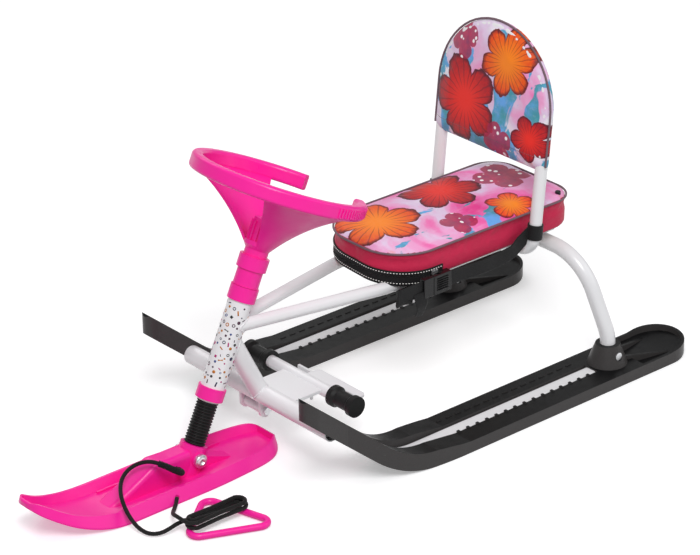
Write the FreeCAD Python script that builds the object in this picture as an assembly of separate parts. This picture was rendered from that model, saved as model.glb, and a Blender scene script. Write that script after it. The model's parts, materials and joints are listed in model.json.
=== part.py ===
import FreeCAD, Part
import math
import os
from collections import namedtuple

V = FreeCAD.Vector

# A child's steering sled. X runs from the front (-X) to the rear, Y to the rider's right, Z up.
# The ground is Z = 0 and the origin lies under the middle of the sled. Lengths in millimetres.

# Overrun of every cut past the faces that it opens
overrun = 5.0
# Radial room of a running fit, room of a fixed seat, and gap between parts that pass each other
running_clearance = 0.05
seat_clearance = 0.05
passing_gap = 0.5

# Steering axis: where it meets the ground and how far it leans back
steer_foot_x = -289.0
rake_deg = 24.8

# Column, stacked along the steering axis from the top of the front ski's socket
socket_top = 50.4
bellows_length = 69.8
washer_thickness = 2.4
lower_bush_height = 19.5
head_tube_length = 139.0
upper_bush_height = 22.5
sleeve_height = 27.0
collar_height = 20.5
hub_height = 58.0
wheel_rise = 113.0

head_tube_diameter = 38.0
head_tube_wall = 2.0
bush_flange_diameter = 44.0
bush_spigot_length = 22.0
steering_tube_diameter = 26.0
steering_tube_wall = 2.5
sleeve_diameter = 40.0
collar_diameter = 47.0
column_washer_diameter = 35.0
hub_diameter = 37.0
hub_cap = 6.0
wheel_screw_diameter = 8.0
wheel_screw_head_diameter = 16.0
wheel_screw_head = 4.0
wheel_screw_length = 26.0
top_plug_length = 24.0

# Sprung rod that carries the front ski
suspension_travel = 12.0
rod_foot = 9.0
rod_length = 231.0
guide_pin_diameter = 6.0
guide_pin_at = 180.0
guide_pin_length = 24.0
ski_bolt_diameter = 8.0
ski_bolt_at = 31.0
ski_bolt_head_diameter = 22.0
ski_bolt_head = 5.0
ski_boss_diameter = 25.0
ski_boss_rise = 1.0
bellows_diameter = 33.5
bellows_rib_depth = 1.8
bellows_bore = 28.0
bellows_ribs = 15
bellows_crest_share = 0.35
spring_wire = 2.2
spring_mean_diameter = 24.0
spring_curls = 8
spring_end_gap = 0.4

# Steering wheel: an open ring with a funnel of spokes
wheel_diameter = 274.0
rim_width = 17.0
rim_depth = 24.0
rim_edge_radius = 5.0
wheel_opening_deg = 56.0
web_thickness = 4.0
web_rim_inset = 5.0
web_foot_rise = 14.0
web_sag = 9.0
front_window_deg = 80.0
rear_window_deg = 104.0
window_hub_gap = 5.0
grip_ribs = 21
grip_rib_length = 3.4
grip_rib_pitch = 6.4
grip_rib_height = 1.6
hub_fins = 14
hub_fin_thickness = 2.4
hub_fin_reach = 3.0
hub_fin_margin = 5.0

# Front ski: one moulding with raised lips, a centre ridge and a socket
front_tail_x = -122.0
front_tail_flat = 54.0
front_tail_rise = 5.0
front_bend_x = -435.0
front_bend_radius = 215.0
front_bend_deg = 40.0
front_nose_run = 10.0
front_half_width = 66.0
front_tail_half_width = 57.0
front_tail_taper = 60.0
front_nose_half_width = 30.0
front_nose_length = 20.0
front_lip_height = 18.0
front_edge_height = 3.0
front_rim_share = 0.79
front_end_fall = 20.0
front_end_steps = 6
front_end_start_share = 0.25
front_side_steps = 4
front_side_start_share = 0.5
front_floor = 5.0
front_lip_wall = 4.0
front_dish_share = 0.82
ridge_half_width = 18.0
ridge_front_x = -440.0
ridge_knee_x = -397.0
ridge_knee_z = 24.0
ridge_crown_x = -352.0
ridge_crown_z = 48.0
ridge_saddle_x = -322.0
ridge_saddle_z = 46.0
ridge_crown_round = 16.0
ridge_edge_round = 8.0
ridge_tail_x = -206.0
ridge_tail_half_width = 11.0
ridge_tail_height = 30.0
socket_diameter = 43.0
ski_rib_offset = 33.0
ski_rib_width = 3.0
ski_rib_height = 3.5
ski_rib_front_x = -428.0
ski_rib_rear_x = -196.0
rope_diameter = 6.5
rope_hole_room = 0.7
rope_hole_x = -317.0
rope_hole_z = 28.0

# Rear skis: mouldings on a flat-oval runner tube
ski_offset_y = 190.0
ski_half_width = 50.0
ski_tail_x = 582.0
ski_tail_flat = 62.0
ski_tail_rise = 8.0
ski_bend_x = 14.0
ski_bend_radius = 165.0
ski_bend_deg = 40.0
ski_nose_run = 157.0
ski_nose_half_width = 19.0
ski_nose_height = 28.0
ski_rail_height = 20.0
ski_rail_slope = 66.0
ski_tail_height = 20.0
ski_full_width_x = 60.0
ski_taper_x = -45.0
ski_taper_half_width = 40.0
ski_prong_x = -140.0
ski_bow_share = 0.04
ski_floor = 4.0
slot_front_x = -85.0
slot_rear_x = 388.0
runner_width = 28.0
runner_height = 14.0
runner_wall = 1.5
runner_side_room = 0.6
runner_nose_gap = 16.0
tooth_pitch = 20.0
tooth_length = 4.5
tooth_reach = 3.4
tooth_height = 2.6
dash_pitch = 20.0
dash_length = 11.0
dash_width = 2.2
dash_height = 1.2
dash_offset = 31.0
boss_foot_radius = 36.0
boss_top_radius = 20.0
boss_foot_z = 12.0
boss_height = 42.0
spatula_front_x = 462.0
spatula_floor = 12.0
spatula_rim = 5.0
wedge_length = 118.0
wedge_height = 20.0
wedge_thickness = 5.0
wedge_spread_deg = 10.0
hoop_bolt_diameter = 6.0
hoop_bolt_z = 38.0
hoop_bolt_head_diameter = 13.0
hoop_bolt_head = 5.0
hoop_bolt_seat = 21.0

# Frame tubes
crossbar_x = -138.0
crossbar_z = 87.0
crossbar_diameter = 30.0
frame_wall = 1.8
down_tube_diameter = 30.0
down_tube_top_z = 202.0
rail_z = 220.0
rail_diameter = 20.0
rail_front_half_gap = 9.0
rail_half_gap = 60.0
rail_bend_x = 68.0
rail_rear_x = 420.0
rail_bend_radius = 120.0
hoop_diameter = 25.0
hoop_foot_x = 425.0
hoop_foot_z = 9.0
hoop_knee_z = 68.0
hoop_knee_radius = 90.0
hoop_top_x = 402.0
hoop_corner_y = 148.0
hoop_corner_radius = 82.0
weld_sink = 1.0
foot_bar_x = -55.0
foot_bar_z = 83.0
foot_bar_diameter = 20.0
foot_bar_length = 252.0
grip_centre_y = 103.0
grip_length = 54.0
grip_rim_diameter = 34.0
grip_waist_diameter = 27.0
grip_rim_length = 9.0
brace_thickness = 5.0
brace_near_y = -58.0
brace_far_y = 34.0

# Brake: a lever on a bolt between two ears under the crossbar
brake_pivot_x = -131.0
brake_pivot_z = 55.0
ear_radius = 11.5
ear_thickness = 5.0
ear_near_y = -2.0
ear_far_y = 44.0
brake_bolt_diameter = 8.0
brake_bolt_head_diameter = 13.0
brake_bolt_head = 5.0
brake_sleeve_diameter = 17.0
brake_plate = 4.0
brake_arm_margin = 4.0
brake_riser_x = -33.0
brake_riser_top_z = 84.0
brake_riser_near_y = -52.0
brake_tread_near_y = -108.0
brake_tread_depth = 17.0
brake_tread_round = 8.0
brake_lip_depth = 7.0
brake_lip_near_y = -70.0
claw_drop = 21.0
claw_teeth = 3
claw_notch_share = 0.45

# Seat
seat_front_x = 55.0
seat_rear_x = 441.0
seat_half_width = 97.0
seat_front_radius = 76.0
seat_rear_radius = 46.0
seat_base_thickness = 6.0
seat_base_inset = 9.0
seat_side_height = 48.5
seat_crown = 10.0
seat_crown_inset = 40.0
crown_rise_share = 0.6
seat_draw_in = 2.4
seat_foot_inset = 3.0
seat_screw_diameter = 5.0
seat_screw_head_diameter = 10.0
seat_screw_head = 3.0
seat_screw_front_x = 170.0
seat_screw_rear_x = 350.0
eyelet_diameter = 9.0
eyelet_height = 2.5
eyelet_sink = 4.0
eyelet_rear_inset = 29.0
eyelet_side_inset = 15.0
piping_diameter = 5.0
piping_seat = 0.2
zip_band_thickness = 1.6
zip_band_height = 20.0
zip_band_rear_x = 150.0
zip_slider_length = 12.0
zip_slider_width = 6.0
zip_slider_thickness = 2.4
zip_slider_gap = 0.3

# Backrest: a bent tube with a padded cover drawn over its arch
back_tube_diameter = 20.0
back_side_gap = 18.0
back_foot_drop = 3.0
back_lean_deg = 6.0
back_foot_x = 327.0
back_foot_bend = 30.0
back_arch_z = 440.0
pad_bottom_z = 352.0
pad_margin = 2.0
pad_corner_radius = 12.0
pad_back = 11.5
pad_front = 13.0
pad_crown = 4.0
pad_crown_inset = 34.0
pad_edge_inset = 3.0
pad_tube_room = 0.3

# Lap belt
belt_width = 25.0
belt_thickness = 2.0
belt_side_gap = 10.0
belt_anchor_z = 254.0
belt_run_z = 226.0
belt_drop_x = 292.0
belt_knee_x = 306.0
belt_loop_wall = 2.4
buckle_front_x = 118.0
buckle_length = 36.0
buckle_height = 32.0
buckle_thickness = 12.0
buckle_wall = 2.5
buckle_tab_length = 20.0
buckle_tongue_length = 18.0
buckle_tongue_thickness = 4.0
buckle_room = 0.4
belt_tuck = 8.0
belt_under_front_x = 48.0
belt_far_turn_x = 266.0
belt_under_gap = 1.0

# Tow rope and its handle, lying on the ground beside the front ski
hank_x = -343.0
hank_y = -146.0
hank_run = 80.0
hank_inner_level = 5.6
hank_waist = 1.6
hank_gap = 0.9
hank_layer_gap = 2.0
hank_rest_gap = 0.3
hank_loops = 2
rope_lead = 12.5
cord_arc_share = 0.45
handle_diameter = 11.0
handle_left = (-409.0, -160.0)
handle_top = (-317.0, -85.0)
handle_right = (-279.0, -217.0)
handle_corner_radius = 14.0

# Route of the rope from the ridge's hole to the hank, and from the hank back to the ski's lip
rope_front_route = [
    (-317, -14, 28), (-317, -28, 28), (-322.5, -40, 32), (-332, -47, 39.5), (-343.5, -47, 48),
    (-355, -37, 56.5), (-366, -20, 60), (-380, -6, 55), (-397, -2, 47), (-413, -10, 41),
    (-427, -26, 37), (-438, -44, 33), (-445, -62, 27), (-448, -79, 18), (-446.5, -96, 9),
    (-440.5, -112, 4.5), (-429, -124.5, 6.5), (-415.5, -129.5, 11.5),
]
rope_rear_route = [
    (-394, -112, 19), (-387, -100, 13), (-378, -89.5, 9), (-368, -80, 7.4), (-358.5, -71, 7.5),
    (-350, -61.5, 8),
]

# Values that follow from the sizes above
rake = math.radians(rake_deg)
axis_lean = math.tan(rake)
bellows_bottom = socket_top + seat_clearance
bellows_top = bellows_bottom + bellows_length
washer_top = bellows_top + washer_thickness
lower_bush_bottom = washer_top + passing_gap
head_bottom = lower_bush_bottom + lower_bush_height
head_top = head_bottom + head_tube_length
upper_bush_top = head_top + upper_bush_height
sleeve_bottom = upper_bush_top + passing_gap
collar_bottom = sleeve_bottom + sleeve_height
collar_top = collar_bottom + collar_height
hub_top = collar_top + hub_height
wheel_at = collar_top + wheel_rise
head_radius = head_tube_diameter / 2
steering_radius = steering_tube_diameter / 2
rod_radius = steering_radius - steering_tube_wall - running_clearance
rope_radius = rope_diameter / 2
rail_radius = rail_diameter / 2
hoop_radius = hoop_diameter / 2
hoop_top_z = rail_z - rail_radius - hoop_radius + weld_sink
back_radius = back_tube_diameter / 2
back_lean = math.tan(math.radians(back_lean_deg))
back_half_gap = seat_half_width + back_side_gap
back_foot_z = rail_z - back_foot_drop
pad_half_width = back_half_gap + back_radius + pad_margin
belt_side_y = seat_half_width + belt_side_gap
seat_base_z = rail_z + rail_radius
seat_foot_z = seat_base_z + passing_gap
seat_edge_z = seat_foot_z + seat_side_height
rim_middle = (wheel_diameter - rim_width) / 2

SkiRun = namedtuple("SkiRun", "tail_x flat_x tail_radius bend_x bend_radius bend nose")


def ski_run(tail_x, tail_flat, tail_rise, bend_x, bend_radius, bend_deg, nose):
    """Side line of a ski's running face: tail arc, flat run, front bend and straight nose."""
    tail_radius = (tail_flat ** 2 + tail_rise ** 2) / (2 * tail_rise)
    return SkiRun(tail_x, tail_x - tail_flat, tail_radius, bend_x, bend_radius, math.radians(bend_deg), nose)


rear_run = ski_run(
    ski_tail_x, ski_tail_flat, ski_tail_rise, ski_bend_x, ski_bend_radius, ski_bend_deg, ski_nose_run
)
front_run = ski_run(
    front_tail_x, front_tail_flat, front_tail_rise, front_bend_x, front_bend_radius, front_bend_deg,
    front_nose_run,
)


def box(x_low, x_high, y_low, y_high, z_low, z_high):
    """Box between two limits on each axis."""
    return Part.makeBox(x_high - x_low, y_high - y_low, z_high - z_low, V(x_low, y_low, z_low))


def rod_between(start, end, radius):
    """Round bar from one point to another."""
    return Part.makeCylinder(radius, (end - start).Length, start, end - start)


def tube_between(start, end, radius, wall):
    """Open round tube from one point to another."""
    along = (end - start).normalize()
    return rod_between(start, end, radius).cut(
        rod_between(start - along * overrun, end + along * overrun, radius - wall)
    )


def cross_rod(x, z, y_low, y_high, radius):
    """Round bar that lies across the sled."""
    return rod_between(V(x, y_low, z), V(x, y_high, z), radius)


def ring(outer_radius, inner_radius, low, high):
    """Ring about the Z axis."""
    outer = Part.makeCylinder(outer_radius, high - low, V(0, 0, low))
    return outer.cut(Part.makeCylinder(inner_radius, high - low + 2 * overrun, V(0, 0, low - overrun)))


def on_steering(shape):
    """Move a shape made about the Z axis onto the raked steering axis."""
    moved = shape.copy()
    moved.rotate(V(0, 0, 0), V(0, 1, 0), rake_deg)
    moved.translate(V(steer_foot_x, 0, 0))
    return moved


def steering_point(height):
    """Point of the steering axis at a distance from the ground along the axis."""
    return V(steer_foot_x + height * math.sin(rake), 0, height * math.cos(rake))


def outline(start, moves):
    """Closed wire of straight moves (end,) and arcs (middle, end)."""
    edges = []
    here = start
    for move in moves:
        if len(move) == 1:
            edges.append(Part.LineSegment(here, move[0]).toShape())
        else:
            edges.append(Part.Arc(here, move[0], move[1]).toShape())
        here = move[-1]
    return Part.Wire(edges)


def side_prism(points, y_low, y_high):
    """Prism across the sled with a side view of straight edges, given as (x, z)."""
    corners = [V(x, y_low, z) for x, z in points]
    wire = Part.makePolygon(corners + corners[:1])
    return Part.Face(wire).extrude(V(0, y_high - y_low, 0))


def bent_path(points, bend_radius):
    """Straight runs joined by tangent arcs of one radius."""
    edges = []
    here = points[0]
    for before, corner, after in zip(points, points[1:], points[2:]):
        inward = (corner - before).normalize()
        outward = (after - corner).normalize()
        half_turn = inward.getAngle(outward) / 2
        reach = bend_radius * math.tan(half_turn)
        start = corner - inward * reach
        end = corner + outward * reach
        bisector = (outward - inward).normalize()
        middle = corner + bisector * (bend_radius / math.cos(half_turn) - bend_radius)
        edges.append(Part.LineSegment(here, start).toShape())
        edges.append(Part.Arc(start, middle, end).toShape())
        here = end
    edges.append(Part.LineSegment(here, points[-1]).toShape())
    return Part.Wire(edges)


def sweep_round(path, start, heading, radius):
    """Round bar along a path."""
    profile = Part.Wire(Part.Circle(start, heading, radius).toShape())
    return path.makePipeShell([profile], True, False)


def bent_bar(points, bend_radius, radius):
    """Round bar along straight runs with tangent bends."""
    return sweep_round(bent_path(points, bend_radius), points[0], points[1] - points[0], radius)


def bent_tube(points, bend_radius, radius, wall):
    """Open round tube along straight runs with tangent bends."""
    return bent_bar(points, bend_radius, radius).cut(bent_bar(points, bend_radius, radius - wall))


def mirrored(shape):
    """The same piece on the other side of the sled."""
    return shape.mirror(V(0, 0, 0), V(0, 1, 0))


def ski_trace(run, depth):
    """Points of a ski's side line at a depth above its running face, tail first."""
    tail = math.asin((run.tail_x - run.flat_x) / run.tail_radius)
    inner_tail = run.tail_radius - depth
    inner_bend = run.bend_radius - depth
    bend_end = V(
        run.bend_x - inner_bend * math.sin(run.bend), 0, run.bend_radius - inner_bend * math.cos(run.bend)
    )
    return [
        V(run.flat_x + inner_tail * math.sin(tail), 0, run.tail_radius - inner_tail * math.cos(tail)),
        V(run.flat_x + inner_tail * math.sin(tail / 2), 0, run.tail_radius - inner_tail * math.cos(tail / 2)),
        V(run.flat_x, 0, depth),
        V(run.bend_x, 0, depth),
        V(
            run.bend_x - inner_bend * math.sin(run.bend / 2),
            0,
            run.bend_radius - inner_bend * math.cos(run.bend / 2),
        ),
        bend_end,
        bend_end + V(-run.nose * math.cos(run.bend), 0, run.nose * math.sin(run.bend)),
    ]


def ski_layer(run, low, high, half_width):
    """Slab that follows a ski's side line between two depths."""
    lower = ski_trace(run, low)
    upper = ski_trace(run, high)
    wire = outline(
        lower[0],
        [
            (lower[1], lower[2]), (lower[3],), (lower[4], lower[5]), (lower[6],),
            (upper[6],), (upper[5],), (upper[4], upper[3]), (upper[2],), (upper[1], upper[0]), (lower[0],),
        ],
    )
    face = Part.Face(wire)
    face.translate(V(0, -half_width, 0))
    return face.extrude(V(0, 2 * half_width, 0))


def long_run(run):
    """The same side line run on past tail and nose, where the plan outline ends the ski."""
    return run._replace(tail_x=run.tail_x + ski_rail_height, nose=run.nose + ski_rail_height)


def quarter(centre_x, radius, side):
    """Middle point of the quarter arc that rounds a ski's tail."""
    reach = radius * math.sqrt(2) / 2
    return V(centre_x + reach, side * reach, 0)


def standing_prism(wire, height, inset=0):
    """Prism that stands on the ground over a plan outline, drawn in by an inset."""
    face = Part.Face(wire)
    if inset:
        face = face.makeOffset2D(-inset)
    return face.extrude(V(0, 0, height))


def front_ski_top():
    """A height that clears every point of the front ski."""
    return ski_trace(long_run(front_run), front_lip_height)[6].z + overrun


def front_nose_x():
    """Tip of the front ski's nose."""
    return ski_trace(front_run, 0)[6].x


def front_width_at(x):
    """Half the front ski's width at a place along it."""
    tail_centre = front_tail_x - front_tail_half_width
    full_x = tail_centre - front_tail_taper
    nose_x = front_nose_x() + front_nose_length
    if x > tail_centre:
        return math.sqrt(front_tail_half_width ** 2 - (x - tail_centre) ** 2)
    if x > full_x:
        share = (tail_centre - x) / front_tail_taper
        return front_tail_half_width + (front_half_width - front_tail_half_width) * share
    if x > front_bend_x:
        return front_half_width
    if x > nose_x:
        share = (front_bend_x - x) / (front_bend_x - nose_x)
        return front_half_width - (front_half_width - front_nose_half_width) * share ** 2
    share = (nose_x - x) / front_nose_length
    return front_nose_half_width * math.sqrt(1 - share ** 2)


def front_floor_at(x):
    """Height of the front ski's running face at a place along it."""
    if x > front_run.flat_x:
        return front_run.tail_radius - math.sqrt(front_run.tail_radius ** 2 - (x - front_run.flat_x) ** 2)
    bend_end_x = front_run.bend_x - front_run.bend_radius * math.sin(front_run.bend)
    reach = front_run.bend_x - max(x, bend_end_x)
    rise = 0
    if reach > 0:
        rise = front_run.bend_radius - math.sqrt(front_run.bend_radius ** 2 - reach ** 2)
    return rise + max(bend_end_x - x, 0) * math.tan(front_run.bend)


def front_stations():
    """Places along the front ski, tail first, where its outer form is given."""
    tail_centre = front_tail_x - front_tail_half_width
    nose_x = front_nose_x() + front_nose_length
    quarter_turn = math.pi / 2
    places = []
    for step in range(front_end_steps):
        angle = quarter_turn * (1 - (step + front_end_start_share) / front_end_steps)
        places.append(tail_centre + front_tail_half_width * math.sin(angle))
    for step in range(front_side_steps):
        share = (step + front_side_start_share) / front_side_steps
        places.append(tail_centre + (front_bend_x - tail_centre) * share)
    for step in range(front_side_steps):
        places.append(front_bend_x + (nose_x - front_bend_x) * step / front_side_steps)
    for step in range(front_end_steps):
        angle = quarter_turn * (step + front_end_start_share) / front_end_steps
        places.append(nose_x - front_nose_length * math.sin(angle))
    return places


def front_end_gap(x):
    """Distance from a place along the front ski to its nearer end."""
    return min(front_tail_x - x, x - front_nose_x())


def front_rim(x):
    """Half width and height of the front ski's rim over its running face."""
    fall = 1 - min(front_end_gap(x) / front_end_fall, 1)
    top = front_edge_height + (front_lip_height - front_edge_height) * math.sqrt(1 - fall ** 2)
    return front_width_at(x) * front_rim_share, top


def section_wire(x, half):
    """Closed section across the front ski from the corners of its far half, lowest first."""
    floor = front_floor_at(x)
    corners = [V(x, -y, floor + z) for y, z in half] + [V(x, y, floor + z) for y, z in reversed(half)]
    return Part.makePolygon(corners + corners[:1])


def front_section(x):
    """Outer section of the front ski, run on below the running face: upright edges and sloping shoulders."""
    wide = front_width_at(x)
    rim, top = front_rim(x)
    return section_wire(x, [(wide, -overrun), (wide, front_edge_height), (rim, top)])


def front_dish(x):
    """Section of the front ski's dish, run on above and below it: sloping walls between floor and rim."""
    rim, top = front_rim(x)
    inner = max(rim - front_lip_wall, rim / 2)
    slope = inner * (1 - front_dish_share) / (top - front_floor)
    low = inner * front_dish_share - slope * overrun
    return section_wire(x, [(low, front_floor - overrun), (inner + slope * overrun, top + overrun)])


def ridge_crown():
    """Front part of the centre ridge, rooted in the floor: hollow rise, rounded crown and upper edges."""
    root = front_floor / 2
    wire = outline(
        V(ridge_front_x, 0, root),
        [
            (V(ridge_front_x, 0, front_floor),),
            (V(ridge_knee_x, 0, ridge_knee_z), V(ridge_crown_x, 0, ridge_crown_z)),
            (V(ridge_saddle_x, 0, ridge_saddle_z),),
            (V(steer_foot_x, 0, ridge_saddle_z),),
            (V(steer_foot_x, 0, root),),
            (V(ridge_front_x, 0, root),),
        ],
    )
    face = Part.Face(wire)
    face.translate(V(0, -ridge_half_width, 0))
    ridge = face.extrude(V(0, 2 * ridge_half_width, 0))
    crest = [
        edge for edge in ridge.Edges
        if edge.BoundBox.XLength < ridge_half_width / 2 and edge.CenterOfMass.z > ridge_knee_z
        and abs(edge.CenterOfMass.x - ridge_crown_x) < ridge_half_width / 2
    ]
    ridge = ridge.makeFillet(ridge_crown_round, crest)
    upper = [
        edge for edge in ridge.Edges
        if edge.BoundBox.YLength < ridge_half_width / 2 and edge.BoundBox.ZMax > ridge_knee_z
        and edge.BoundBox.XLength > 0 and edge.BoundBox.ZMin > root
    ]
    return ridge.makeFillet(ridge_edge_round, upper)


def make_front_ski():
    """Pink front ski: tray with lips, ribs, centre ridge, socket, and holes for bolt, rod and rope."""
    height = front_ski_top()
    outer = Part.makeLoft([front_section(x) for x in front_stations()], True, False)
    blank = ski_layer(long_run(front_run), 0, height, front_half_width + overrun).common(outer)
    inner_stations = [x for x in front_stations() if front_end_gap(x) > front_lip_wall]
    dish = Part.makeLoft([front_dish(x) for x in inner_stations], True, False)
    blank = blank.cut(ski_layer(long_run(front_run), front_floor, height, front_half_width).common(dish))
    root = front_floor / 2
    heel = side_prism(
        [
            (steer_foot_x, root),
            (steer_foot_x, ridge_tail_height),
            (steer_foot_x + ridge_tail_height * axis_lean, ridge_tail_height),
            (ridge_tail_x, front_floor),
            (ridge_tail_x, root),
        ],
        -ridge_tail_half_width,
        ridge_tail_half_width,
    )
    socket_foot = V(0, 0, -socket_diameter)
    socket = on_steering(Part.makeCylinder(socket_diameter / 2, socket_top + socket_diameter, socket_foot))
    socket = socket.common(
        box(ridge_front_x, 0, -socket_diameter, socket_diameter, root, height + socket_top)
    )
    body = blank.fuse([ridge_crown(), heel, socket])
    for side in (-1, 1):
        middle = side * ski_rib_offset
        body = body.fuse(
            box(
                ski_rib_front_x, ski_rib_rear_x, middle - ski_rib_width / 2, middle + ski_rib_width / 2,
                root, front_floor + ski_rib_height,
            )
        )
    rod_bore = on_steering(
        Part.makeCylinder(rod_radius + seat_clearance, socket_top, V(0, 0, rod_foot))
    )
    bolt = steering_point(ski_bolt_at)
    bolt_radius = ski_bolt_diameter / 2 + seat_clearance
    boss_end = socket_diameter / 2 + ski_boss_rise
    body = body.fuse(cross_rod(bolt.x, bolt.z, -boss_end, boss_end, ski_boss_diameter / 2))
    bolt_hole = cross_rod(bolt.x, bolt.z, -front_half_width, front_half_width, bolt_radius)
    hole_radius = (rope_diameter + rope_hole_room) / 2
    rope_hole = cross_rod(rope_hole_x, rope_hole_z, -front_half_width, front_half_width, hole_radius)
    rope_end = V(*rope_rear_route[-1])
    rope_way = (rope_end - V(*rope_rear_route[-2])).normalize()
    hole_start = rope_end - rope_way * 2 * front_lip_wall
    lip_hole = rod_between(hole_start, rope_end + rope_way * overrun, hole_radius)
    return body.cut([rod_bore, bolt_hole, rope_hole, lip_hole]).removeSplitter()


def make_front_ski_bolt():
    """Bolt across the socket with a large head and a nut, both on the socket's boss."""
    place = steering_point(ski_bolt_at)
    seat = socket_diameter / 2 + ski_boss_rise
    shank = cross_rod(place.x, place.z, -seat, seat, ski_bolt_diameter / 2)
    head = cross_rod(place.x, place.z, -seat - ski_bolt_head, -seat, ski_bolt_head_diameter / 2)
    nut = cross_rod(place.x, place.z, seat, seat + ski_bolt_head, ski_bolt_head_diameter / 2)
    return shank.fuse([head, nut]).removeSplitter()


def make_slide_rod():
    """Rod that carries the front ski and slides in the steering tube."""
    rod = Part.makeCylinder(rod_radius, rod_length, V(0, 0, rod_foot))
    rod = on_steering(rod)
    bolt = steering_point(ski_bolt_at)
    pin = steering_point(guide_pin_at)
    bolt_hole = cross_rod(bolt.x, bolt.z, -rod_length, rod_length, ski_bolt_diameter / 2 + seat_clearance)
    pin_hole = cross_rod(pin.x, pin.z, -rod_length, rod_length, guide_pin_diameter / 2 + seat_clearance)
    return rod.cut([bolt_hole, pin_hole])


def make_guide_pin():
    """Cross pin that turns the rod with the steering tube and slides in its slots."""
    place = steering_point(guide_pin_at)
    return cross_rod(place.x, place.z, -guide_pin_length / 2, guide_pin_length / 2, guide_pin_diameter / 2)


def make_steering_tube():
    """Steering tube with two slots for the guide pin and a plug for the wheel's screw."""
    top = hub_top - hub_cap
    tube = ring(steering_radius, steering_radius - steering_tube_wall, bellows_top, top)
    plug = ring(
        steering_radius - steering_tube_wall / 2, wheel_screw_diameter / 2 + seat_clearance,
        top - top_plug_length, top,
    )
    half_slot = guide_pin_diameter / 2 + running_clearance
    slot_top = guide_pin_at + suspension_travel
    slot = box(-half_slot, half_slot, -head_radius, head_radius, guide_pin_at, slot_top)
    for end in (guide_pin_at, slot_top):
        slot = slot.fuse(Part.makeCylinder(half_slot, 2 * head_radius, V(0, -head_radius, end), V(0, 1, 0)))
    return on_steering(tube.fuse(plug).removeSplitter().cut(slot))


def make_column_washer():
    """White washer on the steering tube above the bellows."""
    return on_steering(
        ring(column_washer_diameter / 2, steering_radius + seat_clearance, bellows_top, washer_top)
    )


def make_bellows():
    """Ribbed rubber bellows with a plain bore, ribs worked out along its length."""
    outer = bellows_diameter / 2
    root = outer - bellows_rib_depth
    pitch = bellows_length / bellows_ribs
    flank = pitch * (1 - 2 * bellows_crest_share) / 2
    crest = pitch * bellows_crest_share
    circles = []
    for number in range(bellows_ribs):
        low = bellows_bottom + number * pitch
        for radius, height in (
            (root, low), (root, low + crest), (outer, low + crest + flank), (outer, low + 2 * crest + flank)
        ):
            circles.append(Part.Wire(Part.Circle(V(height, 0, 0), V(1, 0, 0), radius).toShape()))
    circles.append(Part.Wire(Part.Circle(V(bellows_top, 0, 0), V(1, 0, 0), root).toShape()))
    solid = Part.makeLoft(circles, True, True)
    bore = Part.makeCylinder(
        bellows_bore / 2, bellows_length + 2 * overrun, V(bellows_bottom - overrun, 0, 0), V(1, 0, 0)
    )
    hose = solid.cut(bore)
    hose.rotate(V(0, 0, 0), V(0, 1, 0), -90)
    return on_steering(hose)


def helix_arcs(radius, bottom, rise, half_turns):
    """Half-turn arcs of a coil about the Z axis, each tilted to climb."""
    edges = []
    for number in range(half_turns):
        angle = math.pi * number
        low = bottom + rise * number
        start = V(radius * math.cos(angle), radius * math.sin(angle), low)
        half_way = angle + math.pi / 2
        middle = V(radius * math.cos(half_way), radius * math.sin(half_way), low + rise / 2)
        end = V(radius * math.cos(angle + math.pi), radius * math.sin(angle + math.pi), low + rise)
        edges.append(Part.Arc(start, middle, end).toShape())
    return Part.Wire(edges)


def make_spring():
    """Compression spring round the rod, inside the bellows."""
    radius = spring_mean_diameter / 2
    end_room = spring_wire / 2 + spring_end_gap
    half_turns = 2 * spring_curls
    rise = (bellows_length - 2 * end_room) / half_turns
    path = helix_arcs(radius, bellows_bottom + end_room, rise, half_turns)
    start = path.Edges[0].valueAt(path.Edges[0].FirstParameter)
    heading = path.Edges[0].tangentAt(path.Edges[0].FirstParameter)
    print("spring gap between curls", round(2 * rise - spring_wire, 2))
    return on_steering(sweep_round(path, start, heading, spring_wire / 2))


def make_head_tube():
    """Frame's head tube."""
    return on_steering(ring(head_radius, head_radius - head_tube_wall, head_bottom, head_top))


def make_bush(flange_low, flange_high, spigot_low, spigot_high):
    """Pink plastic bush: a flange outside the head tube and a spigot inside it."""
    bore = steering_radius + running_clearance
    flange = ring(bush_flange_diameter / 2, bore, flange_low, flange_high)
    spigot = ring(head_radius - head_tube_wall - seat_clearance, bore, spigot_low, spigot_high)
    return on_steering(flange.fuse(spigot).removeSplitter())


def make_column_sleeve():
    """Pink sleeve with the collar that the wheel stands on."""
    bore = steering_radius + seat_clearance
    sleeve = ring(sleeve_diameter / 2, bore, sleeve_bottom, collar_bottom)
    collar = ring(collar_diameter / 2, bore, collar_bottom, collar_top)
    return on_steering(sleeve.fuse(collar).removeSplitter())


def rim_section(grow):
    """Upright section of the rim, a rectangle with round edges, in the XZ plane behind the hub."""
    wide = rim_width / 2 + grow
    high = rim_depth / 2 + grow
    radius = rim_edge_radius + grow
    centre = V(rim_middle, 0, wheel_at)
    bow = radius * (1 - math.sqrt(2) / 2)
    moves = []
    for across, up in ((1, 1), (-1, 1), (-1, -1), (1, -1)):
        beside = V(across * wide, 0, up * (high - radius))
        above = V(across * (wide - radius), 0, up * high)
        middle = V(across * (wide - bow), 0, up * (high - bow))
        first, last = (beside, above) if across * up > 0 else (above, beside)
        moves += [(centre + first,), (centre + middle, centre + last)]
    start = centre + V(wide, 0, radius - high)
    return outline(start, moves)


def turned(shape, angle_deg):
    """Copy of a shape turned about the Z axis."""
    copy = shape.copy()
    copy.rotate(V(0, 0, 0), V(0, 0, 1), angle_deg)
    return copy


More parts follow.
